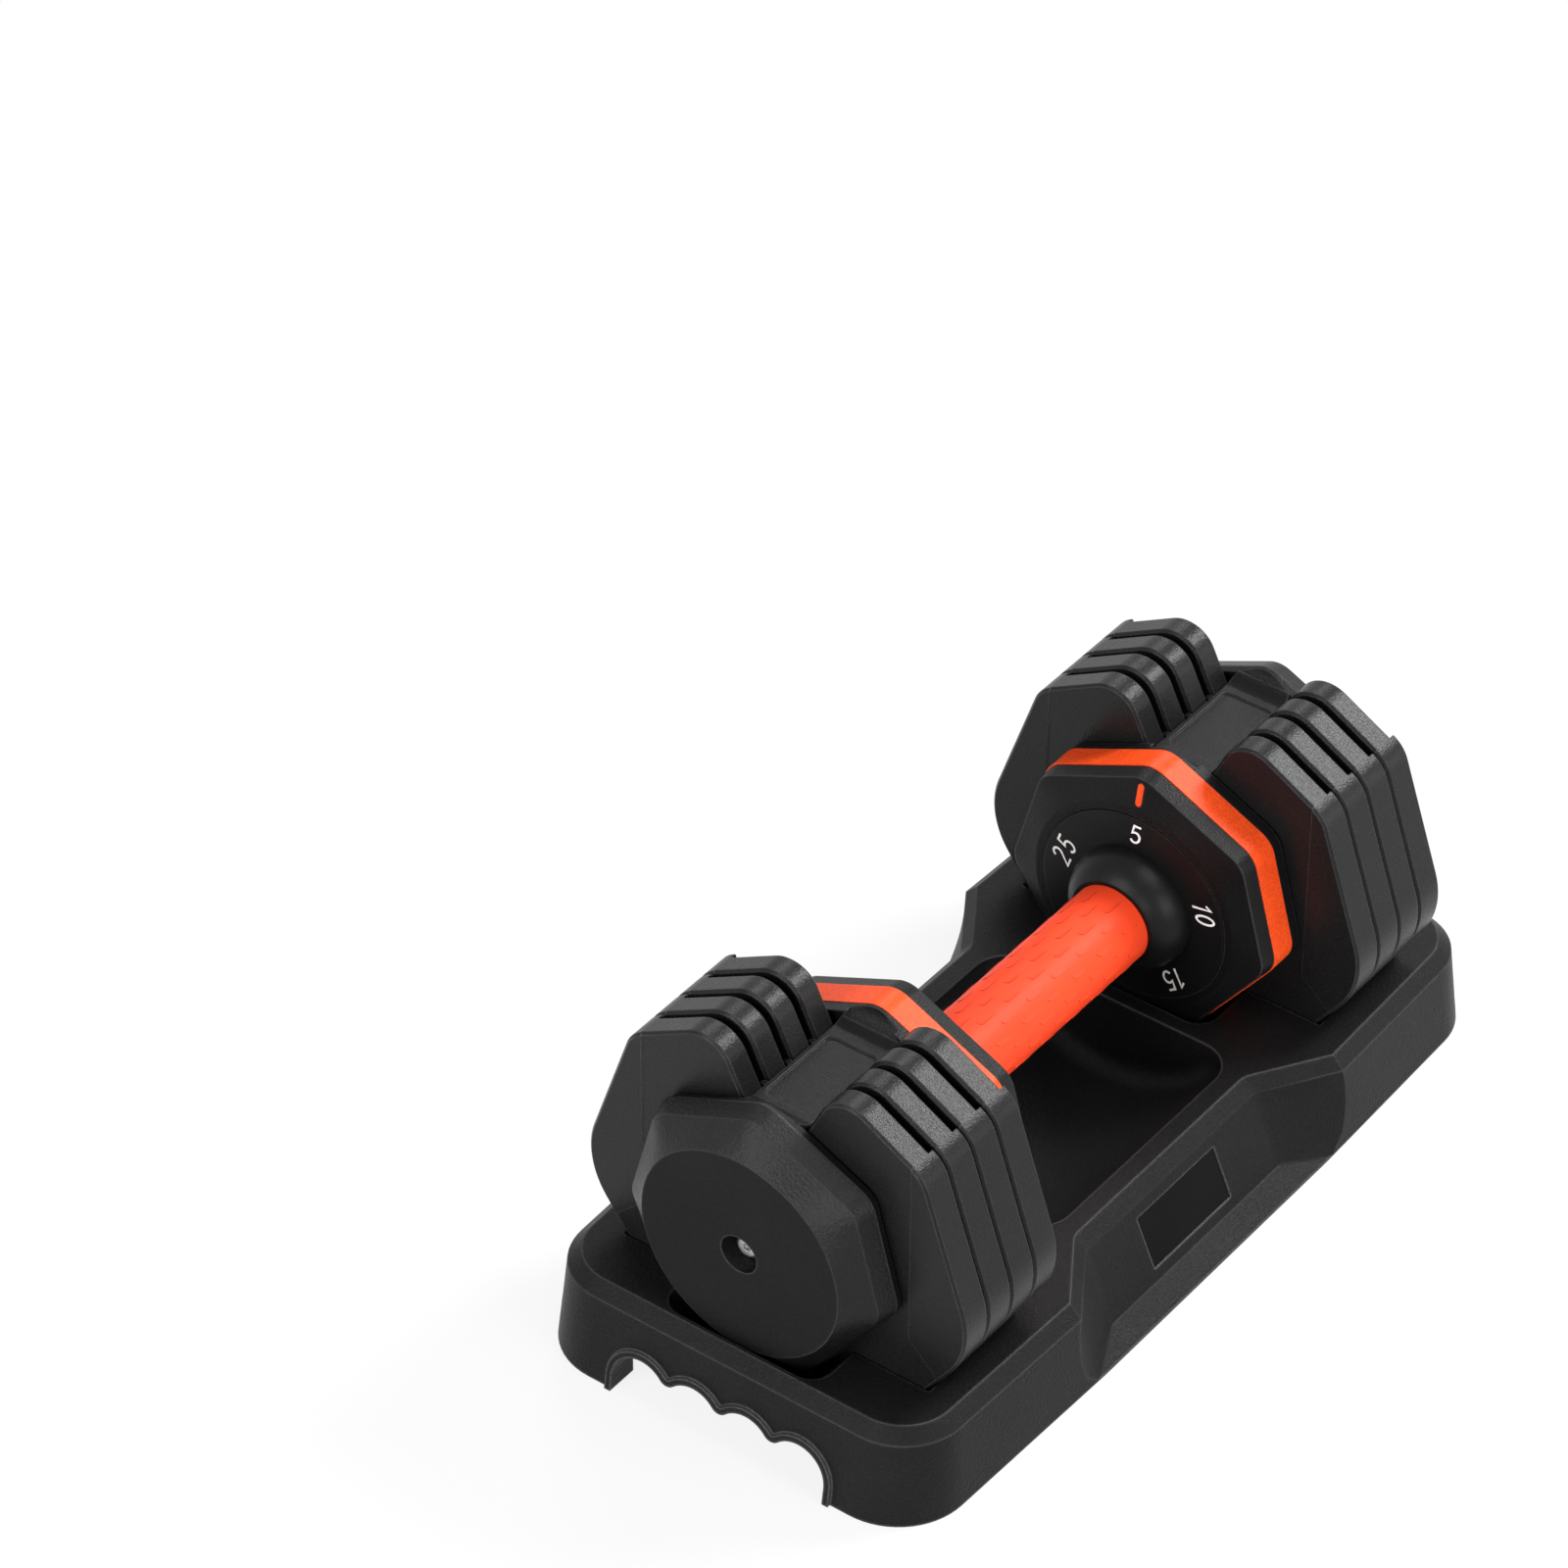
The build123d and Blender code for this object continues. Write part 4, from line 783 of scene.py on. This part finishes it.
def white_to_view(tree, plain, white):
    """Mix of two shaders: white for camera, glossy and transmitted rays, plain for the rest."""
    rays = tree.nodes.new("ShaderNodeLightPath")
    seen = rays.outputs["Is Camera Ray"]
    for name in ("Is Glossy Ray", "Is Transmission Ray"):
        either = tree.nodes.new("ShaderNodeMath")
        either.operation = "MAXIMUM"
        tree.links.new(seen, either.inputs[0])
        tree.links.new(rays.outputs[name], either.inputs[1])
        seen = either.outputs[0]
    mix = tree.nodes.new("ShaderNodeMixShader")
    tree.links.new(plain, mix.inputs[1])
    tree.links.new(white, mix.inputs[2])
    return mix, seen


def area_lamp(name, place, size, power):
    """A square soft lamp that looks at the object."""
    data = bpy.data.lights.new(name, "AREA")
    data.shape = "SQUARE"
    data.size = size
    data.energy = power
    lamp = bpy.data.objects.new(name, data)
    lamp.location = place
    lamp.rotation_euler = (Vector(LAMP_AIM) - Vector(place)).to_track_quat("-Z", "Y").to_euler()
    bpy.context.scene.collection.objects.link(lamp)


def studio_floor(colour):
    """A pale floor that fades to plain white away from the object."""
    mesh = bpy.data.meshes.new("studio_floor")
    corners = [(FLOOR_HALF * x, FLOOR_HALF * y, FLOOR_DROP) for x, y in ((-1, -1), (1, -1), (1, 1), (-1, 1))]
    mesh.from_pydata(corners, [], [(0, 1, 2, 3)])
    floor = bpy.data.objects.new("studio_floor", mesh)
    bpy.context.scene.collection.objects.link(floor)
    sheet = NodeSheet("studio_floor")
    sheet.set(sheet.shader, Base_Color=(*colour, 1.0), Roughness=0.9, Specular_IOR_Level=0.0)
    white = sheet.add("ShaderNodeEmission")
    mix, seen = white_to_view(sheet.tree, sheet.shader.outputs[0], white.outputs[0])
    away = sheet.add("ShaderNodeVectorMath", operation="LENGTH")
    sheet.join(sheet.coordinates, "Object", away, 0)
    far = sheet.spread(away, "Value", FLOOR_FADE, FLOOR_WHITE, 1.0)
    share = sheet.add("ShaderNodeMath", operation="MULTIPLY")
    sheet.tree.links.new(seen, share.inputs[0])
    sheet.join(far, "Result", share, 1)
    sheet.join(share, "Value", mix, 0)
    sheet.join(mix, 0, sheet.output, "Surface")
    mesh.materials.append(sheet.material)


def studio_world(ambient):
    """White behind the object, softer for the light it sheds."""
    world = bpy.data.worlds.new("studio_world")
    bpy.context.scene.world = world
    world.use_nodes = True
    tree = world.node_tree
    tree.nodes.clear()
    plain = tree.nodes.new("ShaderNodeBackground")
    plain.inputs["Strength"].default_value = ambient
    white = tree.nodes.new("ShaderNodeBackground")
    for back in (plain, white):
        back.inputs["Color"].default_value = (1.0, 1.0, 1.0, 1.0)
    mix, seen = white_to_view(tree, plain.outputs[0], white.outputs[0])
    tree.links.new(seen, mix.inputs[0])
    output = tree.nodes.new("ShaderNodeOutputWorld")
    tree.links.new(mix.outputs[0], output.inputs["Surface"])


class DUMBBELL_OT_studio(bpy.types.Operator):
    """Set the floor, the lamps, the white background and the camera."""

    bl_idname = "dumbbell.studio"
    bl_label = "Studio"

    def execute(self, context):
        studio = context.scene.dumbbell_studio
        context.scene.view_settings.view_transform = "Standard"
        studio_world(studio.ambient)
        studio_floor(studio.floor)
        for name, (place, size) in LAMPS.items():
            area_lamp(name + "_lamp", place, size, getattr(studio, name + "_power"))
        data = bpy.data.cameras.new("view_camera")
        data.sensor_width = FILM_WIDTH
        data.lens = studio.lens
        camera = bpy.data.objects.new("view_camera", data)
        camera.location = studio.camera_place
        camera.rotation_euler = Euler(studio.camera_turn)
        context.scene.collection.objects.link(camera)
        context.scene.camera = camera
        return {"FINISHED"}


STEPS = ("finishes", "badge_plates", "grip_tread", "dial_numerals", "studio")


class DUMBBELL_PT_panel(bpy.types.Panel):
    """The dumbbell's settings and steps."""

    bl_label = "Dumbbell"
    bl_idname = "DUMBBELL_PT_panel"
    bl_space_type = "VIEW_3D"
    bl_region_type = "UI"
    bl_category = "Dumbbell"

    def draw(self, context):
        for group in ("dumbbell_colours", "dumbbell_sizes", "dumbbell_studio"):
            held = getattr(context.scene, group)
            box = self.layout.box()
            for name in held.bl_rna.properties.keys():
                if name not in ("rna_type", "name"):
                    box.prop(held, name)
        for step in STEPS:
            self.layout.operator("dumbbell." + step)


CLASSES = (
    DumbbellColours,
    DumbbellSizes,
    DumbbellStudio,
    DUMBBELL_OT_finishes,
    DUMBBELL_OT_badge_plates,
    DUMBBELL_OT_grip_tread,
    DUMBBELL_OT_dial_numerals,
    DUMBBELL_OT_studio,
    DUMBBELL_PT_panel,
)


def register():
    """Adds the classes and the settings."""
    for item in CLASSES:
        bpy.utils.register_class(item)
    bpy.types.Scene.dumbbell_colours = PointerProperty(type=DumbbellColours)
    bpy.types.Scene.dumbbell_sizes = PointerProperty(type=DumbbellSizes)
    bpy.types.Scene.dumbbell_studio = PointerProperty(type=DumbbellStudio)


def unregister():
    """Takes the classes and the settings away."""
    del bpy.types.Scene.dumbbell_studio
    del bpy.types.Scene.dumbbell_sizes
    del bpy.types.Scene.dumbbell_colours
    for item in reversed(CLASSES):
        bpy.utils.unregister_class(item)


def main():
    """Runs every step in order."""
    register()
    for step in STEPS:
        getattr(bpy.ops.dumbbell, step)()


if __name__ == "__main__":
    main()
